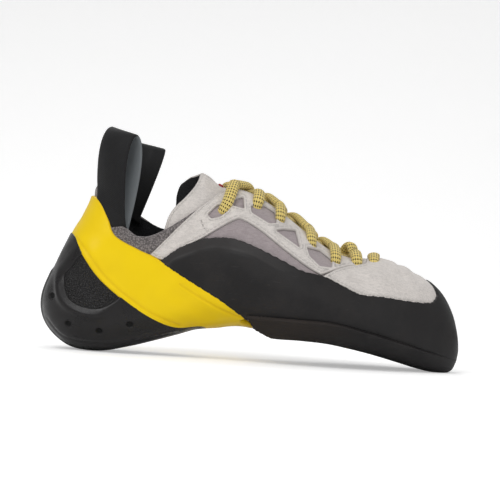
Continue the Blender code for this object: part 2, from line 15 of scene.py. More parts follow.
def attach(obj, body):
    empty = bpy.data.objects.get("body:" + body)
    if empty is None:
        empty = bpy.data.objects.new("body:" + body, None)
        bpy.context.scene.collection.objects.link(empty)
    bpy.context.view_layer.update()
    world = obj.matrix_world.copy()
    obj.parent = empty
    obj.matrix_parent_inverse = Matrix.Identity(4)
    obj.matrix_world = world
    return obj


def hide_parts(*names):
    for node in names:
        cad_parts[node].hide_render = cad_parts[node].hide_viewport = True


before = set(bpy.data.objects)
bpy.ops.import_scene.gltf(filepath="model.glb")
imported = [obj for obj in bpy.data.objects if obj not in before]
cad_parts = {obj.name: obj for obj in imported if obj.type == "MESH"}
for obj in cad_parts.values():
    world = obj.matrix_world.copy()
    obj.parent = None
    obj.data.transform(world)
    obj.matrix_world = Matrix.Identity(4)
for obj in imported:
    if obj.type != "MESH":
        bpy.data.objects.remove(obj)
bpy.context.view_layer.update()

# The part's driving dimensions, in metres
LENGTH = 0.251
HEIGHT = 0.100
BALL_WIDTH = 0.083
HEEL_WIDTH = 0.055
WALL = 0.0020
GAP = 0.0003
SOLE_THICKNESS = 0.0045
CUP_THICKNESS = 0.0030
RAND_THICKNESS = 0.0022
BAND_THICKNESS = 0.0026
SUEDE_THICKNESS = 0.0013
TONGUE_THICKNESS = 0.0022
INSOLE_THICKNESS = 0.0025
WEBBING_THICKNESS = 0.0016
LACE_WIDTH = 0.0073
LACE_HEIGHT = 0.0046
EYELET_DIAMETER = 0.0052
STITCH_INSET = 0.0015
LOOP_SPREAD = 0.0045
LOOP_SEAT = 0.0034
LOOP_COLUMNS = 25
CORD_SIDES = 25
HEEL_END = 0.36
BALL_START = 0.53
TOE_RIDGE = 0.13

# Where the part's own origin lies, from the back of the heel on the centre line
SHIFT = np.array((-0.126203, -0.002022, 0.0))

COLUMNS = ("x_low", "z_low", "x_lat", "z_lat", "x_med", "z_med",
           "mid", "lat", "med", "level", "square", "shut")
LAST = (
    (0.120, 0.952, 0.201, 0.677, 0.189, 0.842, 0.000, 0.436, 0.436, 0.80, 2.0, 0.300),
    (0.106, 0.822, 0.209, 0.665, 0.199, 0.820, 0.000, 0.451, 0.451, 0.74, 2.0, 0.350),
    (0.073, 0.663, 0.219, 0.658, 0.211, 0.797, 0.000, 0.473, 0.473, 0.65, 2.1, 0.400),
    (0.040, 0.467, 0.229, 0.657, 0.223, 0.779, 0.000, 0.491, 0.491, 0.55, 2.2, 0.450),
    (0.013, 0.267, 0.239, 0.660, 0.235, 0.763, 0.000, 0.500, 0.500, 0.50, 2.2, 0.450),
    (0.027, 0.123, 0.246, 0.664, 0.244, 0.750, 0.000, 0.505, 0.500, 0.42, 2.4, 0.450),
    (0.080, 0.016, 0.253, 0.670, 0.253, 0.739, 0.000, 0.507, 0.496, 0.36, 2.7, 0.450),
    (0.143, -0.005, 0.267, 0.686, 0.271, 0.723, 0.000, 0.509, 0.491, 0.33, 3.0, 0.460),
    (0.211, 0.031, 0.283, 0.709, 0.289, 0.723, 0.000, 0.513, 0.488, 0.31, 2.9, 0.500),
    (0.275, 0.079, 0.305, 0.743, 0.309, 0.750, 0.005, 0.520, 0.480, 0.29, 2.7, 0.550),
    (0.327, 0.122, 0.335, 0.800, 0.337, 0.805, 0.008, 0.535, 0.465, 0.28, 2.6, 0.610),
    (0.371, 0.159, 0.371, 0.868, 0.371, 0.868, 0.012, 0.522, 0.442, 0.27, 2.5, 0.700),
    (0.426, 0.174, 0.416, 0.950, 0.416, 0.950, 0.016, 0.500, 0.395, 0.26, 2.5, 0.930),
    (0.486, 0.177, 0.470, 0.951, 0.470, 0.951, 0.022, 0.482, 0.361, 0.25, 2.6, 0.965),
    (0.550, 0.143, 0.534, 0.868, 0.534, 0.868, 0.030, 0.488, 0.359, 0.25, 2.7, 0.965),
    (0.622, 0.140, 0.602, 0.750, 0.602, 0.750, 0.045, 0.536, 0.395, 0.26, 2.8, 0.970),
    (0.685, 0.132, 0.669, 0.638, 0.669, 0.638, 0.058, 0.551, 0.443, 0.28, 2.8, 0.975),
    (0.741, 0.111, 0.725, 0.591, 0.725, 0.591, 0.071, 0.534, 0.465, 0.30, 2.8, 0.982),
    (0.785, 0.090, 0.773, 0.594, 0.773, 0.594, 0.084, 0.506, 0.458, 0.31, 2.8, 0.995),
    (0.817, 0.072, 0.805, 0.598, 0.805, 0.598, 0.096, 0.476, 0.434, 0.31, 2.8, 1.000),
    (0.861, 0.045, 0.853, 0.567, 0.853, 0.567, 0.112, 0.410, 0.383, 0.31, 2.8, 1.000),
    (0.904, 0.018, 0.900, 0.508, 0.900, 0.508, 0.128, 0.330, 0.322, 0.31, 2.9, 1.000),
    (0.940, 0.001, 0.942, 0.422, 0.942, 0.422, 0.142, 0.245, 0.246, 0.31, 3.0, 1.000),
    (0.968, -0.004, 0.970, 0.299, 0.970, 0.299, 0.151, 0.160, 0.174, 0.32, 3.0, 1.000),
    (0.984, 0.022, 0.985, 0.177, 0.985, 0.177, 0.156, 0.087, 0.096, 0.40, 2.6, 1.000),
    (0.990, 0.082, 0.990, 0.082, 0.990, 0.082, 0.157, 0.000, 0.000, 0.50, 2.0, 1.000),
)
TOE = len(LAST) - 1
THROAT_END = 18.99
ROW_LENGTH = 0.011
# The opening under the foot: its first and last row, and its place to either side
SOLE_OPENING = (14.0, 22.5, 0.25)

# Side-view outlines, as shares of length and height
SOLE_TOP = ((0.490, 0.220), (0.508, 0.218), (0.604, 0.214), (0.696, 0.210), (0.778, 0.166), (0.875, 0.105),
            (0.937, 0.067), (0.996, 0.039), (1.060, 0.028))
SOLE_HEEL_BEVEL = ((0.575, -0.200), (0.556, 0.060), (0.549, 0.092), (0.508, 0.146))
RAND_TOP = ((0.270, 0.500), (0.288, 0.546), (0.321, 0.612), (0.355, 0.653), (0.388, 0.680), (0.443, 0.684),
            (0.496, 0.643), (0.569, 0.563), (0.612, 0.515), (0.662, 0.492), (0.707, 0.445), (0.751, 0.400),
            (0.806, 0.392), (0.871, 0.375), (0.922, 0.372))
STEP_LINE = ((0.300, 0.505), (0.3223, 0.551), (0.3896, 0.614), (0.4307, 0.614), (0.486, 0.587),
             (0.5147, 0.555), (0.560, 0.500))
TOE_TOP_LATERAL = ((0.938, 0.405), (0.937, 0.450), (0.926, 0.500), (0.910, 0.560), (0.890, 0.800))
TOE_TOP_MEDIAL = ((0.930, 0.395), (0.926, 0.440), (0.914, 0.500), (0.898, 0.560), (0.880, 0.800))
BAND_TOP = ((0.000, 0.960), (0.040, 0.935), (0.109, 0.889), (0.132, 0.845), (0.153, 0.753), (0.173, 0.660),
            (0.226, 0.592), (0.273, 0.543), (0.353, 0.431), (0.431, 0.322), (0.508, 0.218))
BAND_LOW = ((-0.060, 0.690), (0.000, 0.672), (0.063, 0.642), (0.092, 0.542), (0.140, 0.396), (0.204, 0.272),
            (0.268, 0.178), (0.326, 0.130), (0.390, 0.138), (0.408, 0.050))
EYESTAY_LOW = ((0.253, 0.560), (0.290, 0.535), (0.330, 0.610), (0.375, 0.676), (0.408, 0.733), (0.447, 0.792),
               (0.467, 0.794), (0.510, 0.735), (0.567, 0.632), (0.625, 0.538), (0.662, 0.492))
EYESTAY_FRONT = ((0.690, 0.532), (0.720, 0.556), (0.750, 0.572), (0.766, 0.592), (0.772, 0.700))
EYESTAY_REAR = ((0.440, 1.100), (0.404, 0.985), (0.371, 0.880), (0.310, 0.722))
CUT_OUTS = (
    ((0.384, 0.818), (0.396, 0.854), (0.407, 0.880), (0.424, 0.874), (0.431, 0.848), (0.413, 0.810),
     (0.393, 0.797)),
    ((0.440, 0.880), (0.446, 0.920), (0.464, 0.932), (0.468, 0.862)),
    ((0.484, 0.880), (0.487, 0.840), (0.530, 0.779), (0.547, 0.786), (0.545, 0.846), (0.517, 0.886)),
    ((0.546, 0.740), (0.563, 0.750), (0.594, 0.749), (0.605, 0.648)),
    ((0.622, 0.655), (0.629, 0.603), (0.654, 0.549), (0.682, 0.545), (0.684, 0.590), (0.655, 0.640)),
)
TONGUE_NEAR = ((0.430, 0.990), (0.385, 1.048), (0.366, 1.071), (0.360, 1.064), (0.356, 1.030), (0.345, 0.975),
               (0.326, 0.912), (0.304, 0.850), (0.291, 0.790), (0.282, 0.700))
TONGUE_FAR = ((0.430, 0.990), (0.385, 1.048), (0.366, 1.072), (0.352, 1.070), (0.330, 1.046), (0.314, 0.990),
              (0.306, 0.930), (0.304, 0.870), (0.298, 0.790), (0.290, 0.700))
TONGUE_REST = ((0.330, 0.600), (0.440, 0.700), (0.580, 0.560), (0.705, 0.480), (0.790, 0.520), (0.797, 0.700),
               (0.600, 1.000))
KNIT_LOW = ((0.120, 0.700), (0.200, 0.550), (0.260, 0.555), (0.318, 0.722), (0.371, 0.877), (0.404, 0.992),
            (0.410, 1.100), (0.100, 1.100))
CROSS_STITCH = ((0.368, 0.787), (0.377, 0.735), (0.386, 0.722))
EYELETS = ((0.742, 0.562), (0.690, 0.568), (0.634, 0.660), (0.553, 0.795), (0.498, 0.874), (0.418, 0.840))
PATCH = ((0.087, 0.530), (0.065, 0.450), (0.054, 0.408), (0.061, 0.306), (0.081, 0.246), (0.116, 0.217),
         (0.152, 0.222), (0.190, 0.285), (0.200, 0.360), (0.150, 0.460), (0.110, 0.560))
CUP_SEAM = ((0.016, 0.150), (0.060, 0.045), (0.130, 0.020), (0.215, 0.035), (0.330, 0.105))
VENTS = ((0.030, 0.283), (0.074, 0.122), (0.149, 0.092), (0.220, 0.142))
LACE_BOWS = ((0.75, 0.8), (0.62, 0.8), (0.55, 0.8), (0.60, 0.9), (1.60, 0.40))
LACE_LIFTS = (0.0085, 0.0042, 0.0044, 0.0036, 0.0)
BAND_FOLDS = (
    ((0.078, 0.640), (0.110, 0.552), (0.156, 0.415), (0.218, 0.296), (0.281, 0.205), (0.335, 0.158)),
    ((0.330, 0.400), (0.390, 0.312), (0.440, 0.250), (0.480, 0.218)),
)
LOOP_ENDS = ((0.112, 0.790), (0.132, 0.740), (0.164, 0.700), (0.182, 0.712), (0.196, 0.725))
LOOPS = {
    "pull_loop_lateral": (-1, 0.035, 0.178, 1.307, 1.258, 0.05),
    "pull_loop_medial": (1, 0.085, 0.180, 1.242, 1.207, 0.30),
}


def forward_share(x):
    """0 as far as the heel goes, 1 from the ball on, for a share of the length."""
    return np.clip((x - HEEL_END) / (BALL_START - HEEL_END), 0.0, 1.0)


def side_view(x, z):
    """Metres in the side view: above the heel cup at the back, above the outsole in front."""
    lift = GAP + CUP_THICKNESS + (SOLE_THICKNESS - CUP_THICKNESS) * forward_share(x)
    return LENGTH * x, HEIGHT * z + lift


def catmull(before, start, end, after, f):
    """The Catmull-Rom curve's value a share f of the way from start to end."""
    return 0.5 * (2 * start + (end - before) * f + (2 * before - 5 * start + 4 * end - after) * f**2
                  + (3 * start - before - 3 * end + after) * f**3)


def last_row(s):
    """The columns of LAST at row s, on a Catmull-Rom curve through the rows, half widths in metres."""
    table = np.array(LAST)
    width = HEEL_WIDTH + (BALL_WIDTH - HEEL_WIDTH) * forward_share(table[:, COLUMNS.index("x_low")])
    table[:, COLUMNS.index("lat")] *= width
    table[:, COLUMNS.index("med")] *= width
    base = np.clip(np.floor(s).astype(int), 0, TOE - 1)
    f = (s - base)[..., None]
    values = catmull(*(table[np.clip(base + k, 0, TOE)] for k in (-1, 0, 1, 2)), f)
    return dict(zip(COLUMNS, np.moveaxis(values, -1, 0)))


def section_point(s, t):
    """S(s, t): a superellipse from the lowest point to the widest, then an ellipse up to the edge."""
    row = last_row(s)
    along = np.abs(t)
    lower = np.clip(along / 0.5, 0, 1) * math.pi / 2
    shut = np.clip(row["shut"], 0.05, 1.0)
    edge = np.arcsin(shut)
    upper = np.clip((along - 0.5) / 0.5, 0, 1) * edge + np.clip(along - 1, 0, 1) * (math.pi / 2 - edge)
    power = 2 / row["square"]
    wide = np.sin(lower) ** power * np.cos(upper)
    high = row["level"] * (1 - np.clip(np.cos(lower), 0, 1) ** power)
    high = high + (1 - row["level"]) / shut * np.sin(upper)
    medial = t > 0
    x_low, z_low = side_view(row["x_low"], row["z_low"])
    x_edge, z_edge = side_view(np.where(medial, row["x_med"], row["x_lat"]),
                               np.where(medial, row["z_med"], row["z_lat"]))
    half = np.where(medial, row["med"], -row["lat"])
    return np.stack([x_low + (x_edge - x_low) * high,
                     row["mid"] * BALL_WIDTH + half * wide,
                     z_low + (z_edge - z_low) * high], axis=-1)


def last_normal(s, t):
    """Outward unit normal of the last: the cross product of its slopes along t and along s."""
    step = 0.01
    inner = np.minimum(s, TOE - 0.05)
    along_s = section_point(np.minimum(inner + step, TOE), t) - section_point(np.maximum(inner - step, 0), t)
    along_t = (section_point(inner, np.clip(t + step, -2, 2))
               - section_point(inner, np.clip(t - step, -2, 2)))
    normal = np.cross(along_t, along_s)
    normal = normal / np.maximum(np.linalg.norm(normal, axis=-1, keepdims=True), 1e-12)
    tip = (s >= TOE)[..., None]
    return np.where(tip, np.array((1.0, 0.0, 0.0)), normal)


def to_line(x, z, line, closed=False):
    """Distance of side-view points from a line, and the run along the line to the nearest place."""
    start = line if closed else line[:-1]
    along = (np.roll(line, -1, axis=0) if closed else line[1:]) - start
    length = np.linalg.norm(along, axis=1)
    kept = length > 1e-9
    start, along, length = start[kept], along[kept], length[kept]
    run = np.concatenate([[0.0], np.cumsum(length)[:-1]])
    distances, runs = [], []
    for part in np.array_split(np.stack([x, z], axis=1), max(1, len(x) // 20000)):
        towards = part[:, None] - start[None]
        share = np.clip((towards * along).sum(axis=2) / length**2, 0, 1)
        away = np.linalg.norm(towards - along[None] * share[..., None], axis=2)
        nearest = np.argmin(away, axis=1)
        row = np.arange(len(part))
        distances.append(away[row, nearest])
        runs.append(run[nearest] + share[row, nearest] * length[nearest])
    return np.concatenate(distances), np.concatenate(runs)


# Creases and swellings: a side (-1, 1 or 0 for both), a side-view line in shares, its half width and depth in
# metres (negative for a swelling)
CREASES = (
    (0, ((0.378, 1.045), (0.402, 1.010), (0.428, 0.985)), 0.0055, -0.0015),
    (0, ((0.330, 0.800), (0.372, 0.760), (0.410, 0.770)), 0.0040, 0.0005),
    (0, ((0.415, 0.700), (0.470, 0.760), (0.530, 0.690)), 0.0050, -0.0006),
    (0, ((0.560, 0.600), (0.620, 0.540)), 0.0035, 0.0004),
    (0, ((0.690, 0.500), (0.740, 0.505), (0.790, 0.480)), 0.0030, -0.0005),
    (0, ((0.765, 0.560), (0.815, 0.545), (0.870, 0.500)), 0.0020, 0.0008),
    (0, ((0.780, 0.520), (0.830, 0.500), (0.880, 0.450)), 0.0020, 0.0005),
    (0, ((0.838, 0.620), (0.846, 0.560), (0.852, 0.510)), 0.0017, 0.0009),
    (0, ((0.874, 0.580), (0.884, 0.530), (0.890, 0.480)), 0.0020, 0.0008),
    (0, ((0.720, 0.470), (0.780, 0.440), (0.850, 0.420)), 0.0030, 0.0003),
    (0, ((0.330, 0.330), (0.390, 0.245), (0.450, 0.205), (0.500, 0.190)), 0.0042, 0.0007),
    (0, ((0.270, 0.330), (0.350, 0.240), (0.420, 0.180)), 0.0050, -0.0004),
    (0, ((0.060, 0.780), (0.110, 0.700), (0.150, 0.580)), 0.0050, 0.0005),
    (0, ((0.300, 0.470), (0.400, 0.420), (0.500, 0.330)), 0.0080, 0.0006),
    (0, ((0.520, 0.420), (0.640, 0.340), (0.780, 0.260)), 0.0100, -0.0005),
)


def creased(points):
    """Outward shift at points of the bare last: minus each crease's depth times a bell of the distance."""
    flat = points.reshape(-1, 3)
    shift = np.zeros(len(flat))
    for side, line, width, depth in CREASES:
        x, z = side_view(*np.array(line).T)
        near = (flat[:, 0] > x.min() - 3 * width) & (flat[:, 0] < x.max() + 3 * width)
        if side:
            near &= flat[:, 1] * side > 0
        if near.any():
            away, _ = to_line(flat[near, 0], flat[near, 2], np.stack([x, z], axis=1))
            shift[near] -= depth * np.exp(-(away / width) ** 2)
    return shift.reshape(points.shape[:-1])


def on_last(s, t, offset=0.0):
    """Points of the last's surface in the part's frame, moved out along the normal by creases and offset."""
    s, t = np.broadcast_arrays(np.asarray(s, float), np.asarray(t, float))
    bare = section_point(s, t)
    return bare + last_normal(s, t) * (creased(bare) + np.asarray(offset, float))[..., None] + SHIFT


def behind_throat(s, t, offset):
    """The last over the instep, carried straight on behind row 9 as the slope from row 10 to row 9 goes."""
    held = np.maximum(s, 9.0)
    start = on_last(held, t, offset)
    slope = on_last(np.full(len(s), 9.0), t, offset) - on_last(np.full(len(s), 10.0), t, offset)
    return start + slope * (held - s)[:, None]


def over_instep(v):
    """The place t for v, which is 0 on the ridge of the instep and -1 or 1 at the throat's edges."""
    return np.where(np.asarray(v) < 0, -1.0, 1.0) * (2 - np.abs(v))


def place_on_last(x, z, side):
    """Row and place of a side-view point on the lateral (-1) or medial (1) wall, from a fine grid."""
    s, t = np.meshgrid(np.linspace(5, TOE - 1, 400), np.linspace(0.5, 1.0, 200), indexing="ij")
    points = section_point(s, t * side)
    target_x, target_z = side_view(x, z)
    nearest = np.argmin((points[..., 0] - target_x) ** 2 + (points[..., 2] - target_z) ** 2)
    return s.flat[nearest], t.flat[nearest] * side


def on_heel_wall(x, z, side, offset):
    """Points over the last's rear wall at side-view metres, from the nearest place of a grid."""
    s, t = np.meshgrid(np.linspace(0, 9, 200), np.linspace(0.2, 1.0, 160), indexing="ij")
    s, t = s.ravel(), t.ravel() * side
    points = section_point(s, t)
    near = [np.argmin((points[:, 0] - px) ** 2 + (points[:, 2] - pz) ** 2) for px, pz in zip(x, z)]
    return on_last(s[near], t[near], offset)


def bend(points, steps=8):
    """A side-view line in metres: a Catmull-Rom curve through shares of length and height."""
    table = straight(points)
    padded = np.concatenate([2 * table[:1] - table[1:2], table, 2 * table[-1:] - table[-2:-1]])
    k = np.arange(len(table) - 1)
    f = np.linspace(0, 1, steps, endpoint=False)[None, :, None]
    curve = catmull(*(padded[k + j][:, None, :] for j in range(4)), f)
    return np.concatenate([curve.reshape(-1, 2), table[-1:]])


def straight(points):
    """A side-view line in metres through shares of length and height, with its corners kept."""
    table = np.array(points, float)
    return np.stack(side_view(table[:, 0], table[:, 1]), axis=1)


def rounded_outline(points, radius, steps=5):
    """A closed side-view outline in metres whose corners are cut by short quadratic curves."""
    corners = straight(points)
    before, after = np.roll(corners, 1, axis=0), np.roll(corners, -1, axis=0)
    to_before, to_after = before - corners, after - corners
    long_before = np.linalg.norm(to_before, axis=1, keepdims=True)
    long_after = np.linalg.norm(to_after, axis=1, keepdims=True)
    start = corners + to_before / long_before * np.minimum(radius, long_before * 0.45)
    end = corners + to_after / long_after * np.minimum(radius, long_after * 0.45)
    f = np.linspace(0, 1, steps)[None, :, None]
    curve = start[:, None] * (1 - f) ** 2 + corners[:, None] * 2 * f * (1 - f) + end[:, None] * f**2
    return curve.reshape(-1, 2)


def inside(x, z, outline):
    """Whether side-view points lie inside a closed outline: an odd number of its edges lie to their right."""
    x1, z1 = outline.T
    x2, z2 = np.roll(outline, -1, axis=0).T
    odd = np.zeros(len(x), bool)
    for ax, az, bx, bz in zip(x1, z1, x2, z2):
        if az != bz:
            odd ^= ((az > z) != (bz > z)) & (x < (bx - ax) * (z - az) / (bz - az) + ax)
    return odd


def depth_inside(x, z, outline):
    """Distance from a closed outline, positive inside and negative outside, and the run along it."""
    distance, run = to_line(x, z, outline, True)
    return np.where(inside(x, z, outline), distance, -distance), run


def smooth(low, high, value):
    """0 below low, 1 above high, and a smooth step between."""
    f = np.clip((value - low) / (high - low), 0, 1)
    return f * f * (3 - 2 * f)


def quarter_round(depth, radius):
    """A quarter circle's height as a share of its radius, at a depth in from the edge."""
    f = np.clip(depth / radius, 0, 1)
    return np.sqrt(np.maximum(0, 1 - (1 - f) ** 2))


def split_along(faces, values, column, level):
    """Triangles crossed by the line where a column has the level are cut along it, values mixed linearly."""
    values = values.copy()
    near = np.abs(values[:, column] - level) < 0.00002
    values[near, column] = level
    above = values[:, column] > level
    count = above[faces].sum(axis=1)
    crossed = (count == 1) | (count == 2)
    work = faces[crossed]
    up = above[work]
    odd = np.where(count[crossed] == 1, np.argmax(up, axis=1), np.argmin(up, axis=1))
    work = np.take_along_axis(work, (odd[:, None] + np.arange(3)) % 3, axis=1)
    keys = np.sort(np.concatenate([work[:, [0, 1]], work[:, [0, 2]]]), axis=1)
    if len(keys) == 0:
        return faces, values
    unique, inverse = np.unique(keys, axis=0, return_inverse=True)
    low, high = values[unique[:, 0]], values[unique[:, 1]]
    f = (level - low[:, column]) / (high[:, column] - low[:, column])
    fresh = low + (high - low) * f[:, None]
    fresh[:, column] = level
    number = len(values) + inverse.reshape(-1)
    p, q = number[:len(work)], number[len(work):]
    lone, second, third = work.T
    made = np.concatenate([np.stack(corners, axis=1)
                           for corners in ((lone, p, q), (p, second, third), (p, third, q))])
    return np.concatenate([faces[~crossed], made]), np.concatenate([values, fresh])


def grid_faces(rows, columns):
    """Two triangles for each cell of a grid, in the order that faces away from the foot."""
    index = np.arange(rows * columns).reshape(rows, columns)
    corners = np.stack([index[:-1, :-1], index[:-1, 1:], index[1:, 1:], index[1:, :-1]], axis=-1)
    corners = corners.reshape(-1, 4)
    return np.concatenate([corners[:, [0, 1, 2]], corners[:, [0, 2, 3]]])


def make_object(name, points, faces, materials, face_slot=None, attributes=None, uv=None):
    """A mesh object at the origin, with point attributes, materials by face and its UV map."""
    mesh = bpy.data.meshes.new(name)
    mesh.vertices.add(len(points))
    mesh.vertices.foreach_set("co", np.ascontiguousarray(points, np.float32).ravel())
    mesh.loops.add(faces.size)
    mesh.loops.foreach_set("vertex_index", np.ascontiguousarray(faces, np.int32).ravel())
    mesh.polygons.add(len(faces))
    mesh.polygons.foreach_set("loop_start", np.arange(0, faces.size, faces.shape[1], dtype=np.int32))
    if face_slot is not None:
        mesh.polygons.foreach_set("material_index", np.asarray(face_slot, np.int32))
    for key, column in (attributes or {}).items():
        mesh.attributes.new(key, "FLOAT", "POINT").data.foreach_set("value", np.asarray(column, np.float32))
    if uv is not None:
        layer = mesh.uv_layers.new(name="UVMap")
        layer.data.foreach_set("uv", np.asarray(uv, np.float32)[faces.ravel()].ravel())
    mesh.update(calc_edges=True)
    weld = bmesh.new()
    weld.from_mesh(mesh)
    bmesh.ops.remove_doubles(weld, verts=weld.verts, dist=0.00001)
    bmesh.ops.dissolve_degenerate(weld, edges=weld.edges, dist=0.000005)
    weld.to_mesh(mesh)
    weld.free()
    mesh.shade_smooth()
    for made in materials:
        mesh.materials.append(made)
    obj = bpy.data.objects.new(name, mesh)
    bpy.context.scene.collection.objects.link(obj)
    return obj


def skin(name, s, t, fields, levels, top, base, materials, flip=False, to_place=None, surface=on_last):
    """A closed skin over the last. fields(s, t) gives named columns, the first the depth in from the edge.
    The skin is cut at each (column, level), kept where that depth is positive, and closed by an underside
    that meets it along the rim. top and base give both offsets from the last."""
    grid_s, grid_t = np.meshgrid(s, t, indexing="ij")
    flat_s, flat_v = grid_s.ravel(), grid_t.ravel()
    place = to_place or (lambda v: v)
    columns = fields(flat_s, place(flat_v))
    names = list(columns)
    values = np.stack([flat_s, flat_v] + [columns[key] for key in names], axis=1)
    faces = grid_faces(len(s), len(t))
    for key, level in levels:
        faces, values = split_along(faces, values, 2 + names.index(key), level)
    faces = faces[values[faces, 2].mean(axis=1) > 0]
    if flip:
        faces = faces[:, ::-1]
    used, faces = np.unique(faces, return_inverse=True)
    faces = faces.reshape(-1, 3)
    values = values[used]
    edges = np.sort(np.concatenate([faces[:, [0, 1]], faces[:, [1, 2]], faces[:, [2, 0]]]), axis=1)
    unique, counts = np.unique(edges, axis=0, return_counts=True)
    rim = np.zeros(len(values), bool)
    rim[unique[counts == 1]] = True
    named = dict(zip(names, values[:, 2:].T))
    s_at, t_at = values[:, 0], place(values[:, 1])
    closed_ridge = (s_at >= THROAT_END) & (np.abs(np.abs(t_at) - 1) < 1e-6) & (named[names[0]] > 0.0001)
    rim &= ~closed_ridge & (s_at < TOE - 0.001)
    high, low = top(s_at, t_at, named), base(s_at, t_at, named)
    upper_side = surface(s_at, t_at, np.where(rim, low, high))
    under = np.flatnonzero(~rim)
    renumber = np.arange(len(values))
    renumber[under] = len(values) + np.arange(len(under))
    under_side = surface(s_at[under], t_at[under], low[under])
    points = np.concatenate([upper_side, under_side])
    all_faces = np.concatenate([faces, renumber[faces][:, ::-1]])
    face_slot = np.repeat([0, 1 if len(materials) > 1 else 0], len(faces))
    attributes = {key: np.concatenate([column, column[under]]) for key, column in named.items()}
    return make_object(name, points, all_faces, materials, face_slot, attributes)


FINE = 1.0


def steps(start, end, step):
    """Even steps from start to end, about a step apart."""
    return np.linspace(start, end, int(round((end - start) / (step * FINE))) + 1)


def rounded_top(thickness, radius, base):
    """A skin's outer offset: full thickness inside, a quarter round down to its base at the rim."""
    return lambda s, t, named: base + (thickness - base) * quarter_round(named["depth"], radius)


def level_base(offset):
    return lambda s, t, named: np.full(len(s), offset)


def rim_levels(radius):
    """Cuts near the rim, closest where the quarter round is steepest."""
    return [("depth", radius * share) for share in (0.0, 0.08, 0.3, 0.65, 1.0)]


# Colours, linear
SUEDE_LIGHT = (0.700, 0.655, 0.620)
SUEDE_MAUVE = (0.375, 0.325, 0.332)
KNIT_GREY = (0.310, 0.275, 0.270)
LINING_BLACK = (0.024, 0.025, 0.029)
INSOLE_BLACK = (0.050, 0.048, 0.050)
RUBBER_BLACK = (0.0130, 0.0120, 0.0125)
RUBBER_WORN = (0.030, 0.027, 0.026)
# Paler rubber for the strip above the rand's step line
RUBBER_PALE_STRIP = (0.036, 0.033, 0.033)
SOLE_BROWN = (0.022, 0.017, 0.015)
BAND_YELLOW = (0.960, 0.675, 0.002)
# Deeper yellow: the band's random deeper tone, and its painted shade at rims and folds
BAND_DEEP_AND_SHADE = (0.800, 0.510, 0.0015)
WEBBING_INSIDE = (0.170, 0.185, 0.195)
WEBBING_BLACK = (0.0085, 0.0085, 0.0090)
LACE_YELLOW = (0.900, 0.700, 0.215)
LACE_DASH = (0.050, 0.034, 0.014)
TAG_RED = (0.420, 0.030, 0.035)
PALE_FLOOR = (0.930, 0.930, 0.930)


def node(tree, kind, inputs=None, **settings):
    """A node with its settings; its inputs are values or other nodes' sockets."""
    made = tree.nodes.new(kind)
    for key, value in settings.items():
        setattr(made, key, value)
    for key, value in (inputs or {}).items():
        if isinstance(value, bpy.types.NodeSocket):
            tree.links.new(value, made.inputs[key])
        else:
            made.inputs[key].default_value = value
    return made


def maths(tree, operation, first, second=0.0, clamp=False):
    made = node(tree, "ShaderNodeMath", {0: first, 1: second}, operation=operation, use_clamp=clamp)
    return made.outputs[0]


def product(tree, first, second, clamp=False):
    return maths(tree, "MULTIPLY", first, second, clamp)


def total(tree, first, second):
    return maths(tree, "ADD", first, second)


def scaled(colour, share):
    """A plain colour, lighter or darker."""
    return tuple(value * share for value in colour)


def ramp(tree, value, low, high, start=0.0, end=1.0):
    """A smooth step of a value from start to end between low and high."""
    made = node(tree, "ShaderNodeMapRange", {"Value": value, 1: low, 2: high, 3: start, 4: end})
    made.interpolation_type = "SMOOTHSTEP"
    return made.outputs[0]


def mixed(tree, share, first, second, blend="MIX"):
    """Two colours mixed by a share; plain colours may have three values."""
    first = (*first, 1.0) if isinstance(first, tuple) else first
    second = (*second, 1.0) if isinstance(second, tuple) else second
    made = node(tree, "ShaderNodeMix", {0: share, 6: first, 7: second}, data_type="RGBA", blend_type=blend)
    return made.outputs[2]


def noise(tree, vector, scale, detail=2.0, roughness=0.5, distortion=0.0):
    inputs = {"Vector": vector, "Scale": scale, "Detail": detail, "Roughness": roughness,
              "Distortion": distortion}
    return node(tree, "ShaderNodeTexNoise", inputs).outputs["Fac"]


def make_group(name, inputs, outputs):
    """An empty shader group with its input sockets and values and its output sockets."""
    tree = bpy.data.node_groups.new(name, "ShaderNodeTree")
    for key, value in inputs.items():
        kind = "NodeSocketVector" if value is None else "NodeSocketFloat"
        socket = tree.interface.new_socket(key, in_out="INPUT", socket_type=kind)
        if value is not None:
            socket.default_value = value
    for key in outputs:
        tree.interface.new_socket(key, in_out="OUTPUT", socket_type="NodeSocketFloat")
    return tree, tree.nodes.new("NodeGroupInput").outputs, tree.nodes.new("NodeGroupOutput").inputs


def nap_group():
    """Suede: hairs in short brushed streaks over broad lighter and darker fields. The Shade output follows
    the hairs' height: painted shade in the nap's hollows.
    """
    tree, given, out = make_group("suede_nap", {"Vector": None, "Fineness": 1.0}, ("Shade", "Height"))
    place = node(tree, "ShaderNodeVectorMath", {0: given["Vector"], "Scale": given["Fineness"]},
                 operation="SCALE").outputs[0]
    fine = noise(tree, place, 1700.0, 3.0, 0.7)
    brushed = node(tree, "ShaderNodeMapping", {"Vector": place, "Scale": (0.35, 1.0, 1.2)}).outputs[0]
    hair = noise(tree, brushed, 900.0, 2.0, 0.6, 0.4)
    broad = noise(tree, place, 95.0, 4.0, 0.6, 0.6)
    fibre = total(tree, product(tree, fine, 0.55), product(tree, hair, 0.45))
    shade = total(tree, product(tree, fibre, 0.78), product(tree, broad, 0.22))
    tree.links.new(shade, out["Shade"])
    tree.links.new(fibre, out["Height"])
    return tree


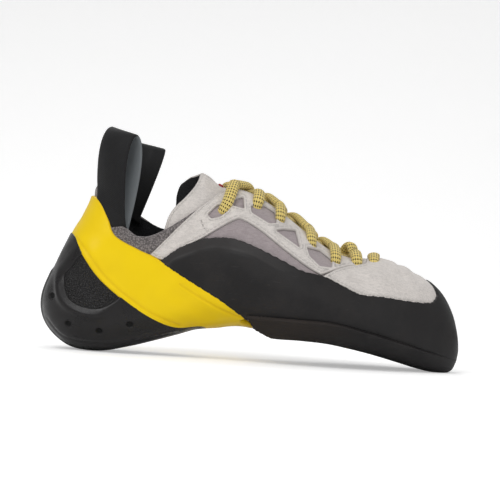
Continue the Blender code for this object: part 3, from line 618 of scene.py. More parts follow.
def rubber_group():
    """Moulded rubber: fine grain, soft blooms of dust and thin scratches along the shoe."""
    tree, given, out = make_group("rubber_face", {"Vector": None, "Wear": 1.0}, ("Dust", "Rough", "Height"))
    grain = noise(tree, given["Vector"], 2600.0, 2.0, 0.6)
    bloom = ramp(tree, noise(tree, given["Vector"], 55.0, 4.0, 0.6), 0.42, 0.72)
    stretched = node(tree, "ShaderNodeMapping", {"Vector": given["Vector"], "Rotation": (0.0, 0.35, 0.0),
                                                 "Scale": (0.12, 1.0, 1.6)}).outputs[0]
    scratch = ramp(tree, noise(tree, stretched, 620.0, 3.0, 0.65), 0.62, 0.74)
    dust = total(tree, product(tree, bloom, 0.55), product(tree, scratch, 0.45))
    tree.links.new(product(tree, dust, given["Wear"], True), out["Dust"])
    tree.links.new(total(tree, product(tree, bloom, 0.6), product(tree, grain, 0.4)), out["Rough"])
    tree.links.new(maths(tree, "SUBTRACT", grain, product(tree, scratch, 0.5)), out["Height"])
    return tree


def stitch_group():
    """A row of stitches at an inset from an edge: dashes where the run's share of the pitch is below 0.68."""
    given = {"Depth": 0.0, "Run": 0.0, "Inset": STITCH_INSET, "Pitch": 0.0026, "Thread": 0.0006}
    tree, given, out = make_group("stitch_row", given, ("Thread", "Height"))
    away = maths(tree, "ABSOLUTE", maths(tree, "SUBTRACT", given["Depth"], given["Inset"]))
    across = maths(tree, "DIVIDE", away, given["Thread"])
    share = maths(tree, "FRACT", maths(tree, "DIVIDE", given["Run"], given["Pitch"]))
    middle = maths(tree, "ABSOLUTE", maths(tree, "SUBTRACT", share, 0.5))
    dash = ramp(tree, middle, 0.30, 0.42, 1.0, 0.0)
    thread = product(tree, ramp(tree, across, 0.3, 0.75, 1.0, 0.0), dash)
    trench = ramp(tree, across, 0.6, 1.9, 1.0, 0.0)
    tree.links.new(thread, out["Thread"])
    tree.links.new(maths(tree, "SUBTRACT", product(tree, thread, 1.2), trench), out["Height"])
    return tree


def weave_group():
    """Plain weave on a UV map in metres: ribs across and along, one over the other in turn."""
    tree, given, out = make_group("plain_weave", {"Vector": None, "Rib": 0.0010}, ("Rib", "Height"))
    parts = node(tree, "ShaderNodeSeparateXYZ", {"Vector": given["Vector"]}).outputs
    turns = [product(tree, maths(tree, "DIVIDE", parts[k], given["Rib"]), math.pi) for k in (0, 1)]
    waves = [maths(tree, "SINE", turn) for turn in turns]
    rib = product(tree, waves[0], waves[1])
    tree.links.new(total(tree, product(tree, rib, 0.5), 0.5), out["Rib"])
    cord = product(tree, maths(tree, "ABSOLUTE", waves[1]), 0.6)
    tree.links.new(total(tree, product(tree, rib, 0.5), cord), out["Height"])
    return tree


NAP = nap_group()
RUBBER = rubber_group()
STITCH = stitch_group()
WEAVE = weave_group()


def new_material(name, roughness, **constants):
    """A node material and its shader, with constant values on the shader's own sockets."""
    made = bpy.data.materials.new(name)
    made.use_nodes = True
    tree = made.node_tree
    shader = tree.nodes["Principled BSDF"]
    shader.inputs["Roughness"].default_value = roughness
    for key, value in constants.items():
        shader.inputs[key.replace("_", " ")].default_value = value
    place = node(tree, "ShaderNodeTexCoord").outputs
    return made, tree, shader, place


def group_node(tree, group, inputs):
    return node(tree, "ShaderNodeGroup", inputs, node_tree=group).outputs


def paint(tree, shader, colour):
    tree.links.new(colour, shader.inputs["Base Color"])


def attribute(tree, name):
    return node(tree, "ShaderNodeAttribute", attribute_name=name).outputs["Fac"]


def bump(tree, shader, height, distance, strength=1.0, before=None):
    inputs = {"Height": height, "Distance": distance, "Strength": strength}
    if before is not None:
        inputs["Normal"] = before
    made = node(tree, "ShaderNodeBump", inputs).outputs[0]
    tree.links.new(made, shader.inputs["Normal"])
    return made


def suede(name, colour, stitched, strength=1.0):
    """Napped leather, with painted shade in its hollows and at its cut edge, and a row of stitches where it
    is sewn.
    """
    made, tree, shader, place = new_material(name, 0.92, Sheen_Weight=0.25, Sheen_Roughness=0.5,
                                             Specular_IOR_Level=0.25)
    nap = group_node(tree, NAP, {"Vector": place["Object"]})
    # Darker and lighter copies of the colour: painted shade in the nap's hollows, and random mottling over
    # broad fields.
    face = mixed(tree, ramp(tree, nap["Shade"], 0.36, 0.64), scaled(colour, 0.82), scaled(colour, 1.08))
    last_bump = bump(tree, shader, nap["Height"], 0.00025 * strength, 0.8)
    if stitched:
        depth, run = attribute(tree, "depth"), attribute(tree, "run")
        row = group_node(tree, STITCH, {"Depth": depth, "Run": run})
        # Painted shade along the cut edge, standing for the shadow under the leather's rim.
        face = mixed(tree, ramp(tree, depth, 0.0001, 0.0009, 0.55, 0.0), face, scaled(colour, 0.62))
        face = mixed(tree, product(tree, row["Thread"], 0.55), face, scaled(colour, 0.70))
        last_bump = bump(tree, shader, row["Height"], 0.0003, 0.7, last_bump)
        cross, cross_run = attribute(tree, "cross"), attribute(tree, "cross_run")
        second = group_node(tree, STITCH, {"Depth": cross, "Run": cross_run})
        face = mixed(tree, product(tree, second["Thread"], 0.9), face, scaled(colour, 0.45))
        bump(tree, shader, second["Height"], 0.0003, 0.7, last_bump)
    paint(tree, shader, face)
    return made


def rubber(name, colour, worn, roughness, wear, strength=1.0):
    """Black rubber: dusty blooms and scratches lift its colour and its roughness. Above the step line of the
    rand, in its rear half, its colour is paler."""
    made, tree, shader, place = new_material(name, roughness, Specular_IOR_Level=0.26)
    face = group_node(tree, RUBBER, {"Vector": place["Object"], "Wear": wear})
    along = node(tree, "ShaderNodeSeparateXYZ", {"Vector": place["Object"]}).outputs[0]
    # The mask named thin makes the colour paler above the step line in the rand's rear half.
    thin = product(tree, ramp(tree, attribute(tree, "below"), -0.0010, 0.0006, 0.75, 0.0),
                   ramp(tree, along, -0.005, 0.030, 1.0, 0.0))
    dusty = mixed(tree, face["Dust"], colour, worn)
    paint(tree, shader, mixed(tree, thin, dusty, RUBBER_PALE_STRIP))
    tree.links.new(ramp(tree, face["Rough"], 0.1, 0.9, roughness - 0.08, roughness + 0.16),
                   shader.inputs["Roughness"])
    bump(tree, shader, face["Height"], 0.00012 * strength, 0.6)
    return made


def knit(name, colour, dark, fineness, depth=0.0004):
    """Fuzzy knit: small loops in wavy rows, with painted shade in the gaps between the loops, so their tops
    show paler.
    """
    made, tree, shader, place = new_material(name, 0.96, Sheen_Weight=0.35, Sheen_Roughness=0.6,
                                             Specular_IOR_Level=0.15)
    loops = node(tree, "ShaderNodeTexVoronoi", {"Vector": place["Object"], "Scale": fineness,
                                                "Randomness": 0.75}).outputs["Distance"]
    fuzz = noise(tree, place["Object"], fineness * 1.7, 3.0, 0.7)
    height = total(tree, product(tree, loops, -0.8), fuzz)
    # The colour follows the loops' height: a darker copy as painted shade in the gaps, the full colour on the
    # tops.
    paint(tree, shader, mixed(tree, ramp(tree, height, -0.1, 0.5), dark, colour))
    bump(tree, shader, height, depth, 0.9)
    return made


def band_material():
    """Yellow rubber: smooth, with painted shade towards its rounded rims and along its folds, and deeper in
    colour where it was rubbed.
    """
    made, tree, shader, place = new_material("band_yellow", 0.46, Specular_IOR_Level=0.22, Coat_Weight=0.02,
                                             Coat_Roughness=0.4)
    face = group_node(tree, RUBBER, {"Vector": place["Object"], "Wear": 0.5})
    depth = attribute(tree, "depth")
    # Painted shade: deeper yellow towards the rounded rims.
    colour = mixed(tree, ramp(tree, depth, 0.0003, 0.0022, 0.55, 0.0), BAND_YELLOW, BAND_DEEP_AND_SHADE)
    # Painted shade along the folds.
    colour = mixed(tree, ramp(tree, attribute(tree, "fold"), 0.0001, 0.0011, 0.6, 0.0), colour, BAND_DEEP_AND_SHADE)
    broad = ramp(tree, noise(tree, place["Object"], 45.0, 2.0), 0.3, 0.75, 0.0, 0.22)
    paint(tree, shader, mixed(tree, broad, colour, BAND_DEEP_AND_SHADE))
    tree.links.new(ramp(tree, face["Rough"], 0.1, 0.9, 0.34, 0.56), shader.inputs["Roughness"])
    bump(tree, shader, face["Height"], 0.00005, 0.5)
    return made


def cup_material():
    """Glossy black rubber, with a pebbled patch at each side of the heel. The pebbles' tops carry a painted
    highlight, and the vent recesses are filled with painted shade, near black.
    """
    made, tree, shader, place = new_material("cup_black", 0.34, Specular_IOR_Level=0.30, Coat_Weight=0.04,
                                             Coat_Roughness=0.3)
    face = group_node(tree, RUBBER, {"Vector": place["Object"], "Wear": 0.3})
    patch = ramp(tree, attribute(tree, "patch"), 0.0004, 0.0014)
    pebble = node(tree, "ShaderNodeTexVoronoi", {"Vector": place["Object"], "Scale": 900.0,
                                                 "Randomness": 0.9}).outputs["Distance"]
    pebbled = product(tree, maths(tree, "SUBTRACT", 1.0, pebble), patch)
    colour = mixed(tree, face["Dust"], RUBBER_BLACK, RUBBER_WORN)
    # Painted highlight: the pebbles' tops are mixed towards a lighter grey.
    pebble_highlight = ramp(tree, pebbled, 0.55, 0.95)
    colour = mixed(tree, patch, colour, scaled(RUBBER_BLACK, 0.55))
    colour = mixed(tree, product(tree, pebble_highlight, 0.7), colour, (0.060, 0.057, 0.057))
    # The vent recesses are painted near black: painted shade in shallow dips.
    hole = ramp(tree, attribute(tree, "vent"), -0.0001, 0.0004, 1.0, 0.0)
    paint(tree, shader, mixed(tree, hole, colour, (0.003, 0.003, 0.003)))
    smooth_part = ramp(tree, face["Rough"], 0.1, 0.9, 0.26, 0.46)
    tree.links.new(total(tree, smooth_part, product(tree, hole, 0.4)),
                   shader.inputs["Roughness"])
    first = bump(tree, shader, face["Height"], 0.00007, 0.5)
    bump(tree, shader, pebbled, 0.0009, 1.0, first)
    return made


def sole_material():
    """Climbing rubber, ground brown and matt at the rear edge, darker and smoother towards the toe."""
    made, tree, shader, place = new_material("sole_black", 0.6, Specular_IOR_Level=0.24)
    face = group_node(tree, RUBBER, {"Vector": place["Object"], "Wear": 0.9})
    along = node(tree, "ShaderNodeSeparateXYZ", {"Vector": place["Object"]}).outputs[0]
    ground = ramp(tree, total(tree, along, product(tree, face["Rough"], 0.02)),
                  0.030, 0.075, 1.0, 0.0)
    lines = node(tree, "ShaderNodeMapping", {"Vector": place["Object"], "Scale": (0.06, 0.06, 1.0)})
    grinding = noise(tree, lines.outputs[0], 3200.0, 2.0, 0.6)
    colour = mixed(tree, face["Dust"], RUBBER_BLACK, RUBBER_WORN)
    brown = mixed(tree, grinding, SOLE_BROWN, (0.048, 0.040, 0.035))
    paint(tree, shader, mixed(tree, product(tree, ground, 0.85), colour, brown))
    tree.links.new(ramp(tree, ground, 0.0, 1.0, 0.50, 0.82), shader.inputs["Roughness"])
    first = bump(tree, shader, face["Height"], 0.0001, 0.6)
    bump(tree, shader, product(tree, grinding, ground), 0.0002, 0.7, first)
    return made


def webbing_material():
    """Black webbing: a tight weave with a soft sheen and smooth selvedges; lighter and darker copies of the
    black follow the weave's ribs as painted highlight and painted shade.
    """
    made, tree, shader, place = new_material("webbing_black", 0.6, Sheen_Weight=0.04, Sheen_Roughness=0.4,
                                             Specular_IOR_Level=0.2)
    cloth = group_node(tree, WEAVE, {"Vector": place["UV"], "Rib": 0.0006})
    fuzz = noise(tree, place["Object"], 1200.0, 2.0)
    # Painted highlight and painted shade: lighter and darker copies of the black, following the weave's ribs.
    colour = mixed(tree, cloth["Rib"], scaled(WEBBING_BLACK, 0.6), scaled(WEBBING_BLACK, 1.7))
    colour = mixed(tree, product(tree, fuzz, 0.3), colour, (0.028, 0.028, 0.030))
    colour = mixed(tree, attribute(tree, "inside"), colour, WEBBING_INSIDE)
    paint(tree, shader, colour)
    bump(tree, shader, cloth["Height"], 0.00012, 0.5)
    return made


def lace_material():
    """Braided cord: fine diagonal strands with painted shade in the grooves between them, and rows of short
    dark dashes along it.
    """
    made, tree, shader, place = new_material("lace_yellow", 0.85, Sheen_Weight=0.2, Sheen_Roughness=0.5,
                                             Specular_IOR_Level=0.2)
    parts = node(tree, "ShaderNodeSeparateXYZ", {"Vector": place["UV"]}).outputs
    along = maths(tree, "DIVIDE", parts[0], 0.0019)
    around = product(tree, parts[1], 14.0)
    dash_along = maths(tree, "ABSOLUTE", maths(tree, "SUBTRACT", maths(tree, "FRACT", along), 0.5))
    dash_across = maths(tree, "ABSOLUTE", maths(tree, "SUBTRACT", maths(tree, "FRACT", around), 0.5))
    dash = product(tree, ramp(tree, dash_along, 0.16, 0.30, 1.0, 0.0),
                   ramp(tree, dash_across, 0.20, 0.36, 1.0, 0.0))
    twice = product(tree, along, 2.0)
    turns = [maths(tree, operation, twice, around) for operation in ("ADD", "SUBTRACT")]
    waves = [maths(tree, "SINE", product(tree, turn, math.pi)) for turn in turns]
    braid = product(tree, waves[0], waves[1])
    fuzz = noise(tree, place["Object"], 1500.0, 2.0)
    # A darker copy of the yellow in the braid's grooves: painted shade between the strands.
    yellow = mixed(tree, ramp(tree, braid, -0.8, 0.8), scaled(LACE_YELLOW, 0.78), LACE_YELLOW)
    yellow = mixed(tree, product(tree, fuzz, 0.25), yellow, (0.95, 0.80, 0.35))
    paint(tree, shader, mixed(tree, dash, yellow, LACE_DASH))
    bump(tree, shader, braid, 0.0003, 0.7)
    return made


def plain_material(name, colour, roughness, scale):
    """Cloth or thread of one colour, mottled by a fine noise."""
    made, tree, shader, place = new_material(name, roughness)
    speck = noise(tree, place["Object"], scale, 3.0, 0.6)
    paint(tree, shader, mixed(tree, speck, scaled(colour, 0.75), colour))
    bump(tree, shader, speck, 0.0001, 0.6)
    return made


sewn_suede = suede("suede_light_sewn", SUEDE_LIGHT, True)
mauve_suede = suede("suede_mauve", SUEDE_MAUVE, False, 1.4)
# The second colour of each knit is its painted shade between the loops.
knit_grey = knit("knit_grey", KNIT_GREY, scaled(KNIT_GREY, 0.30), 1000.0)
lining_black = knit("lining_black", LINING_BLACK, (0.005, 0.005, 0.006), 1500.0, 0.0002)
insole_cloth = plain_material("insole_cloth", INSOLE_BLACK, 0.9, 1600.0)
rand_rubber = rubber("rand_black", RUBBER_BLACK, RUBBER_WORN, 0.52, 0.9)
sole_rubber = sole_material()
cup_rubber = cup_material()
band_rubber = band_material()
webbing = webbing_material()
lace_cord = lace_material()
tag_cloth = plain_material("tag_red", TAG_RED, 0.8, 1500.0)


def edge_gap(s, t):
    """Distance of places on the last from the collar's and throat's edge at the same row."""
    here = section_point(s, t)
    edge = section_point(s, np.where(t < 0, -1.0, 1.0))
    back = section_point(np.zeros(len(s)), t)
    beside = np.linalg.norm(here - edge, axis=1)
    behind = np.linalg.norm(here - back, axis=1)
    closed = s >= THROAT_END
    return np.where(closed, 0.02, np.minimum(beside, np.where(s < 6, behind, beside)))


def seen_at(s, t, offset):
    """Side-view x and z and the across y, without the frame's shift, of places on a skin's outside."""
    points = on_last(s, t, np.full(len(s), offset)) - SHIFT
    return points[:, 0], points[:, 2], points[:, 1]


def by_side(s, t, offset, near, far, middle, blend):
    """Depth inside one outline on the lateral side and another on the medial, blended about a middle y."""
    x, z, y = seen_at(s, t, offset)
    depth_near, run = depth_inside(x, z, near)
    depth_far, run_far = depth_inside(x, z, far)
    share = smooth(middle - blend, middle + blend, y)
    return depth_near * (1 - share) + depth_far * share, np.where(share < 0.5, run, run_far)


def finish_piece(obj, slot, *nodes):
    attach(obj, "root")
    if nodes:
        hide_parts(*nodes)
    return obj


def stand_on_floor(obj):
    """Vertices below the floor are raised to it, as rubber flattens where the shoe stands."""
    points = np.empty(len(obj.data.vertices) * 3, np.float32)
    obj.data.vertices.foreach_get("co", points)
    points = points.reshape(-1, 3)
    points[:, 2] = np.maximum(points[:, 2], 0.0)
    obj.data.vertices.foreach_set("co", points.ravel())
    obj.data.update()


# The throat's and the ridge's places, closer near the edges so that they round off
T_EDGE = np.array([0.0, 0.002, 0.006, 0.013])


def places(end, step):
    """Places from -end to end; where they reach 1, extra lines lie close to the edge."""
    even = steps(-end, end, step)
    if end < 1.0:
        return even
    return np.unique(np.concatenate([even[np.abs(even) < 0.98], T_EDGE - 1, 1 - T_EDGE]))


S_EDGE = np.array([0.0, 0.015, 0.04, 0.08])


def rows(start, end, step):
    """Rows from start to end, with extra ones close to the back of the collar."""
    even = steps(start, end, step)
    return even if start > 0 else np.unique(np.concatenate([S_EDGE, even[even > 0.1]]))


def build_upper():
    """One hollow wall: suede outside, black lining inside, open at collar, throat and under the forefoot."""
    def fields(s, t):
        gap = edge_gap(s, t)
        first, last, beside = SOLE_OPENING
        along = np.maximum((first - s) * ROW_LENGTH, (s - last) * ROW_LENGTH)
        opening = np.maximum(along, (np.abs(t) - beside) * 0.1)
        return {"depth": np.minimum(gap, opening) + 0.00001}

    obj = skin("upper", rows(0, TOE, 0.12), places(1.0, 0.0125), fields, [("depth", 0.0), ("depth", 0.0004)],
               rounded_top(0.0, 0.0010, -WALL), level_base(-WALL), (mauve_suede, lining_black))
    return finish_piece(obj, "suede_mauve", "upper")


def build_collar_knit():
    """The padded knit round the collar, fullest a few millimetres below its rim."""
    low = straight(KNIT_LOW)

    def fields(s, t):
        x, z, _ = seen_at(s, t, 0.001)
        depth, run = depth_inside(x, z, low)
        return {"depth": depth, "run": run, "rim": edge_gap(s, t)}

    def top(s, t, named):
        full = 0.0012 * quarter_round(named["rim"], 0.0030) + 0.0004 * quarter_round(named["rim"], 0.0008)
        return -0.0002 + (full + 0.0004) * quarter_round(named["depth"], 0.0015)

    obj = skin("collar_knit", rows(0, 13, 0.09), places(1.0, 0.008), fields,
               rim_levels(0.0015), top, level_base(-0.0006), (knit_grey,))
    return finish_piece(obj, "suede_mauve")


def build_tongue():
    """A leather arch over the instep under both throat edges, its top a smooth U; lining below."""
    near = np.concatenate([bend(TONGUE_NEAR), straight(TONGUE_REST)])
    far = np.concatenate([bend(TONGUE_FAR), straight(TONGUE_REST)])
    outside = -(WALL + GAP)

    def fields(s, t):
        x, z, y = (behind_throat(s, t, outside) - SHIFT)[:, (0, 2, 1)].T
        depth_near, run = depth_inside(x, z, near)
        depth_far, _ = depth_inside(x, z, far)
        share = smooth(-0.010, 0.014, y)
        return {"depth": depth_near * (1 - share) + depth_far * share, "run": run}

    v = steps(-1.5, 1.5, 0.012)
    obj = skin("tongue", steps(7, 18, 0.08), v, fields, rim_levels(0.0011),
               rounded_top(outside, 0.0011, outside - TONGUE_THICKNESS / 2),
               level_base(outside - TONGUE_THICKNESS), (sewn_suede, lining_black), True, over_instep,
               behind_throat)
    return finish_piece(obj, "suede_light", "tongue")


def build_outsole():
    """The half sole: a square edge that stands proud of the rand, bevelled off at the arch."""
    top = bend(SOLE_TOP)
    under = straight([(1.060, -0.20), (0.575, -0.20)])
    outline = np.concatenate([top, under, straight(SOLE_HEEL_BEVEL[1:])])
    thick = GAP + SOLE_THICKNESS + 0.0003

    def fields(s, t):
        x, z, _ = seen_at(s, t, thick)
        depth, run = depth_inside(x, z, outline)
        pinked = 0.00022 * np.sin(run * 2600) * (1 - smooth(0.130, 0.150, x))
        return {"depth": depth + pinked, "run": run}

    def top_offset(s, t, named):
        x, _, _ = seen_at(s, t, GAP)
        beside = smooth(-0.9, -0.4, last_normal(s, t)[:, 2])
        tip = 0.0012 * smooth(0.226, 0.2445, x) * beside
        return thick - tip - 0.0007 + 0.0007 * quarter_round(named["depth"], 0.0007)

    obj = skin("outsole", steps(13, TOE, 0.07), steps(-0.5, 0.5, 0.0065), fields, rim_levels(0.0007),
               top_offset, level_base(GAP), (sole_rubber,))
    stand_on_floor(obj)
    return finish_piece(obj, "sole_rubber", "outsole")


def build_rand():
    """The side and toe rand: a cut top edge, and the step where the tension rubber runs beneath it."""
    low = np.concatenate([bend(SOLE_TOP)[::-1] - (0, 0.0015), bend(BAND_TOP[6:-1])[::-1] - (0.0006, 0.0014)])
    corner = straight([(1.10, 0.80), (1.10, 0.00)])
    outlines = [np.concatenate([bend(RAND_TOP + top), corner, low])
                for top in (TOE_TOP_LATERAL, TOE_TOP_MEDIAL)]
    step_line = bend(STEP_LINE)
    ridge = BALL_WIDTH * TOE_RIDGE

    def fields(s, t):
        depth, run = by_side(s, t, RAND_THICKNESS, outlines[0], outlines[1], ridge, 0.010)
        x, z, _ = seen_at(s, t, RAND_THICKNESS)
        away, _ = to_line(x, z, step_line)
        level = np.interp(x, step_line[:, 0], step_line[:, 1])
        below = np.where(z < level, away, -away)
        jag = 0.00016 * np.sin(run * 2900) + 0.00014 * np.sin(run * 1130 + 1.0)
        return {"depth": depth + jag, "run": run, "below": below}

    def top(s, t, named):
        x, _, _ = seen_at(s, t, RAND_THICKNESS)
        step = 0.0007 * smooth(-0.0010, 0.0010, named["below"]) * (1 - smooth(0.118, 0.145, x))
        tip = 0.0013 * smooth(0.232, 0.2475, x)
        return GAP + (RAND_THICKNESS + step + tip) * quarter_round(named["depth"], 0.0009)

    obj = skin("toe_rand", steps(8, TOE, 0.08), places(1.0, 0.0085), fields, rim_levels(0.0009), top,
               level_base(GAP), (rand_rubber,))
    return finish_piece(obj, "rand_rubber", "toe_rand")


def build_band():
    """The yellow tension band from the back of the heel down both sides to the arch."""
    front = straight([(0.508, 0.218), (0.4789, 0.192), (0.508, 0.146), (0.508, -0.15), (0.400, -0.15)])
    outline = np.concatenate([bend(BAND_TOP), front, bend(BAND_LOW)[::-1]])
    folds = [bend(line) for line in BAND_FOLDS]
    thick = GAP + BAND_THICKNESS

    def fields(s, t):
        x, z, _ = seen_at(s, t, thick)
        depth, run = depth_inside(x, z, outline)
        fold = np.min([to_line(x, z, line)[0] for line in folds], axis=0)
        return {"depth": depth, "run": run, "fold": fold}

    def top(s, t, named):
        x, _, _ = seen_at(s, t, GAP)
        full = BAND_THICKNESS - 0.0009 * (1 - smooth(0.010, 0.026, x))
        full = full - 0.0004 * np.exp(-(named["fold"] / 0.0008) ** 2)
        return GAP + full * quarter_round(named["depth"], 0.0012)

    obj = skin("tension_band", rows(0, 14, 0.065), places(1.0, 0.0085), fields, rim_levels(0.0012), top,
               level_base(GAP), (band_rubber,))
    return finish_piece(obj, "band_rubber", "tension_band")


def build_heel_cup():
    """The moulded cup: a pebbled patch in a raised soft rim, four vents and a faint low seam."""
    top_line = bend(BAND_LOW) + (0.0008, 0.0018)
    outline = np.concatenate([top_line, straight([(0.408, -0.20), (-0.06, -0.20)])])
    patch = bend(PATCH + PATCH[:1])
    centres = straight(VENTS)
    low_seam = bend(CUP_SEAM)
    thick = GAP + CUP_THICKNESS

    def fields(s, t):
        x, z, _ = seen_at(s, t, thick)
        depth, run = depth_inside(x, z, outline)
        in_patch, _ = depth_inside(x, z, patch)
        vent = np.min([np.hypot((x - cx) / 1.1, z - cz) for cx, cz in centres], axis=0) - 0.0017
        seam, _ = to_line(x, z, low_seam)
        return {"depth": depth, "run": run, "patch": in_patch, "vent": vent, "seam": seam}

    def top(s, t, named):
        out = named["patch"]
        x, z, y = seen_at(s, t, GAP)
        crescent = smooth(0.008, 0.014, x) * (1 - smooth(0.028, 0.046, x)) * (1 - smooth(0.036, 0.050, z))
        crescent = 0.0004 + 0.0013 * crescent
        rim = crescent * np.exp(-((out + 0.0034) / 0.0024) ** 2) * (1 - smooth(0.036, 0.048, x))
        rim = rim - 0.0006 * smooth(-0.0004, 0.0010, out)
        hole = 0.0012 * (1 - smooth(-0.0003, 0.0004, named["vent"]))
        seam = 0.0004 * np.exp(-(named["seam"] / 0.0007) ** 2)
        spine = 0.0007 * (1 - smooth(0.006, 0.0085, np.abs(y))) * (1 - smooth(0.0445, 0.0475, z))
        spine = spine * (1 - smooth(0.016, 0.030, x))
        full = CUP_THICKNESS - 0.0004 + rim - hole - seam + spine
        return GAP + full * quarter_round(named["depth"], 0.0010)

    levels = rim_levels(0.0010) + [("vent", -0.0003), ("vent", 0.0), ("vent", 0.0004),
                                   ("patch", -0.0002), ("patch", 0.0010)]
    obj = skin("heel_cup", steps(1, 13, 0.065), steps(-0.8, 0.8, 0.008), fields, levels, top,
               level_base(GAP), (cup_rubber,))
    stand_on_floor(obj)
    return finish_piece(obj, "cup_rubber", "heel_cup")


def build_vamp():
    """Light suede over the toes, from the seam at the lattice to under the rand."""
    seam = np.concatenate([straight([(0.640, 0.460)]), bend(EYESTAY_FRONT)])
    outlines = []
    for top in (TOE_TOP_LATERAL, TOE_TOP_MEDIAL):
        low = bend(RAND_TOP[7:] + top)[::-1] + (0.0015, -0.0015)
        outlines.append(np.concatenate([seam, straight([(0.80, 0.90)]), low]))
    ridge = BALL_WIDTH * TOE_RIDGE

    def fields(s, t):
        depth, run = by_side(s, t, SUEDE_THICKNESS, outlines[0], outlines[1], ridge, 0.010)
        return {"depth": np.minimum(depth, edge_gap(s, t)), "run": run}

    obj = skin("vamp", steps(15, TOE, 0.07), places(1.0, 0.0085), fields, rim_levels(0.0008),
               rounded_top(GAP + SUEDE_THICKNESS, 0.0008, GAP), level_base(GAP * 0.5), (sewn_suede,))
    return finish_piece(obj, "suede_light", "vamp")


def build_eyestay(name, side):
    """The lattice beside the throat: rounded windows, punched eyelets and a sewn edge."""
    outline = np.concatenate([bend(EYESTAY_LOW)[:-1], bend(EYESTAY_FRONT), straight(EYESTAY_REAR)])
    windows = [rounded_outline(hole, 0.0007) for hole in CUT_OUTS]
    eyelets = [on_last(*place_on_last(x, z, side)) - SHIFT for x, z in EYELETS]
    cross_line = straight(CROSS_STITCH)
    thick = GAP + SUEDE_THICKNESS

    def fields(s, t):
        x, z, y = seen_at(s, t, thick)
        cross, cross_run = to_line(x, z, cross_line)
        parts = [depth_inside(x, z, outline)]
        parts += [(-depth, run) for depth, run in (depth_inside(x, z, hole) for hole in windows)]
        for centre in eyelets:
            away = np.linalg.norm(np.stack([x, y, z], axis=1) - centre, axis=1)
            parts.append((np.sqrt(np.maximum(away**2 - thick**2, 0)) - EYELET_DIAMETER / 2, x * 0))
        parts.append((edge_gap(s, t), s * ROW_LENGTH))
        depths = np.array([part[0] for part in parts])
        runs = np.array([part[1] for part in parts])
        nearest = np.argmin(depths, axis=0)
        row = np.arange(len(x))
        return {"depth": depths[nearest, row], "run": runs[nearest, row], "cross": cross + STITCH_INSET,
                "cross_run": cross_run}

    t = np.unique(np.concatenate([steps(0.5, 1.0, 0.0065), 1 - T_EDGE])) * side
    obj = skin(name, steps(6.3, 19, 0.055), t if side > 0 else t[::-1], fields, rim_levels(0.0008),
               rounded_top(thick, 0.0008, GAP), level_base(GAP * 0.5), (sewn_suede,))
    return finish_piece(obj, "suede_light", name)


def build_insole():
    """Board and sock inside the upper, above the opening that the outsole closes."""
    def fields(s, t):
        return {"depth": np.full(len(s), 0.01)}

    outside = -(WALL + GAP)
    obj = skin("insole", steps(5, 23.5, 0.2), steps(-0.375, 0.375, 0.02), fields, [],
               level_base(outside), level_base(outside - INSOLE_THICKNESS), (insole_cloth,))
    return finish_piece(obj, "insole_cloth", "insole")


def unit(vectors):
    return vectors / np.linalg.norm(vectors, axis=-1, keepdims=True)


def collar_edge(side):
    """Points along the collar edge from the middle of the back, their outward normals and run lengths."""
    s = np.concatenate([np.zeros(40), np.linspace(0, 6, 60)])
    t = np.concatenate([np.linspace(0, 0.98, 40), np.ones(60)]) * side
    points = on_last(s, t)
    return points, last_normal(s, t), run_along(points)


def run_along(path):
    """Lengths along a path from its first point."""
    return np.concatenate([[0], np.cumsum(np.linalg.norm(np.diff(path, axis=0), axis=1))])


def at_run(run, values, at):
    """Rows of three values, read off at given run lengths."""
    return np.stack([np.interp(at, run, values[:, k]) for k in range(3)], axis=1)


def loop_middle(side, start, end, top_rear, top_front, lean):
    """The middle surface of the webbing, row by row along it: up from the outside, over a bent arch, and
    down on the inside. A row's points run across the webbing, from its rear edge to its front one."""
    edge, normals, run = collar_edge(side)
    at = np.linspace(start, end, LOOP_COLUMNS) * LENGTH
    base = at_run(run, edge, at)
    across_run = np.linspace(0, 1, LOOP_COLUMNS)
    chord = base[-1] - base[0]
    base = base + (base[0] + chord * across_run[:, None] - base) * 0.35
    level = unit(np.array((-side * chord[1], side * chord[0], 0.0)))
    normal = unit(at_run(run, normals, at) + level * 2)
    down = np.array((0.0, 0.0, -1.0)) + normal * normal[:, 2:]
    outer = GAP * 2 + WEBBING_THICKNESS / 2 + 0.0008
    inner = -(WALL + GAP * 2 + WEBBING_THICKNESS / 2)
    top = side_view(0.2, np.linspace(top_rear, top_front, len(at)))[1] - WEBBING_THICKNESS / 2
    rise = (top - base[:, 2])[:, None]
    upward = np.array((lean, 0.0, 1.0)) + np.linspace(0.06, 0.0, LOOP_COLUMNS)[:, None] * (1.0, 0.0, 0.0)
    turns = np.linspace(0, math.pi, 61)
    low = straight(LOOP_ENDS)
    along = np.linspace(0, len(low) - 1, len(at))
    low = np.stack([np.interp(along, np.arange(len(low)), low[:, k]) for k in (0, 1)], axis=1)
    rim = (base - SHIFT)[:, [0, 2]] - (0, 0.0015)
    lines = []
    if side < 0:
        for share in np.linspace(1.0, 0.0, 9):
            seen = rim + (low - rim) * share
            lines.append(on_heel_wall(seen[:, 0], seen[:, 1], side, outer - 0.0012 * share))
    else:
        lines += [base + normal * outer + down * LOOP_SEAT * f for f in (1.6, 1.0, 0.5)]
    for angle in turns:
        across = (outer + inner) / 2 + (outer - inner) / 2 * math.cos(angle)
        spread = LOOP_SPREAD * math.sin(2 * angle)
        facing = unit(normal * (1 - math.sin(angle)) + level * math.sin(angle))
        lines.append(base + facing * across + level * spread + upward * rise * math.sin(angle))
    lines += [base + normal * inner + down * LOOP_SEAT * f for f in (0.5, 1.0, 1.6)]
    middle = np.array(lines)
    # The bend where the outer leg leaves the wall is eased
    for _ in range(10):
        middle[1:18] = (middle[:17] + 2 * middle[1:18] + middle[2:19]) / 4
    return middle


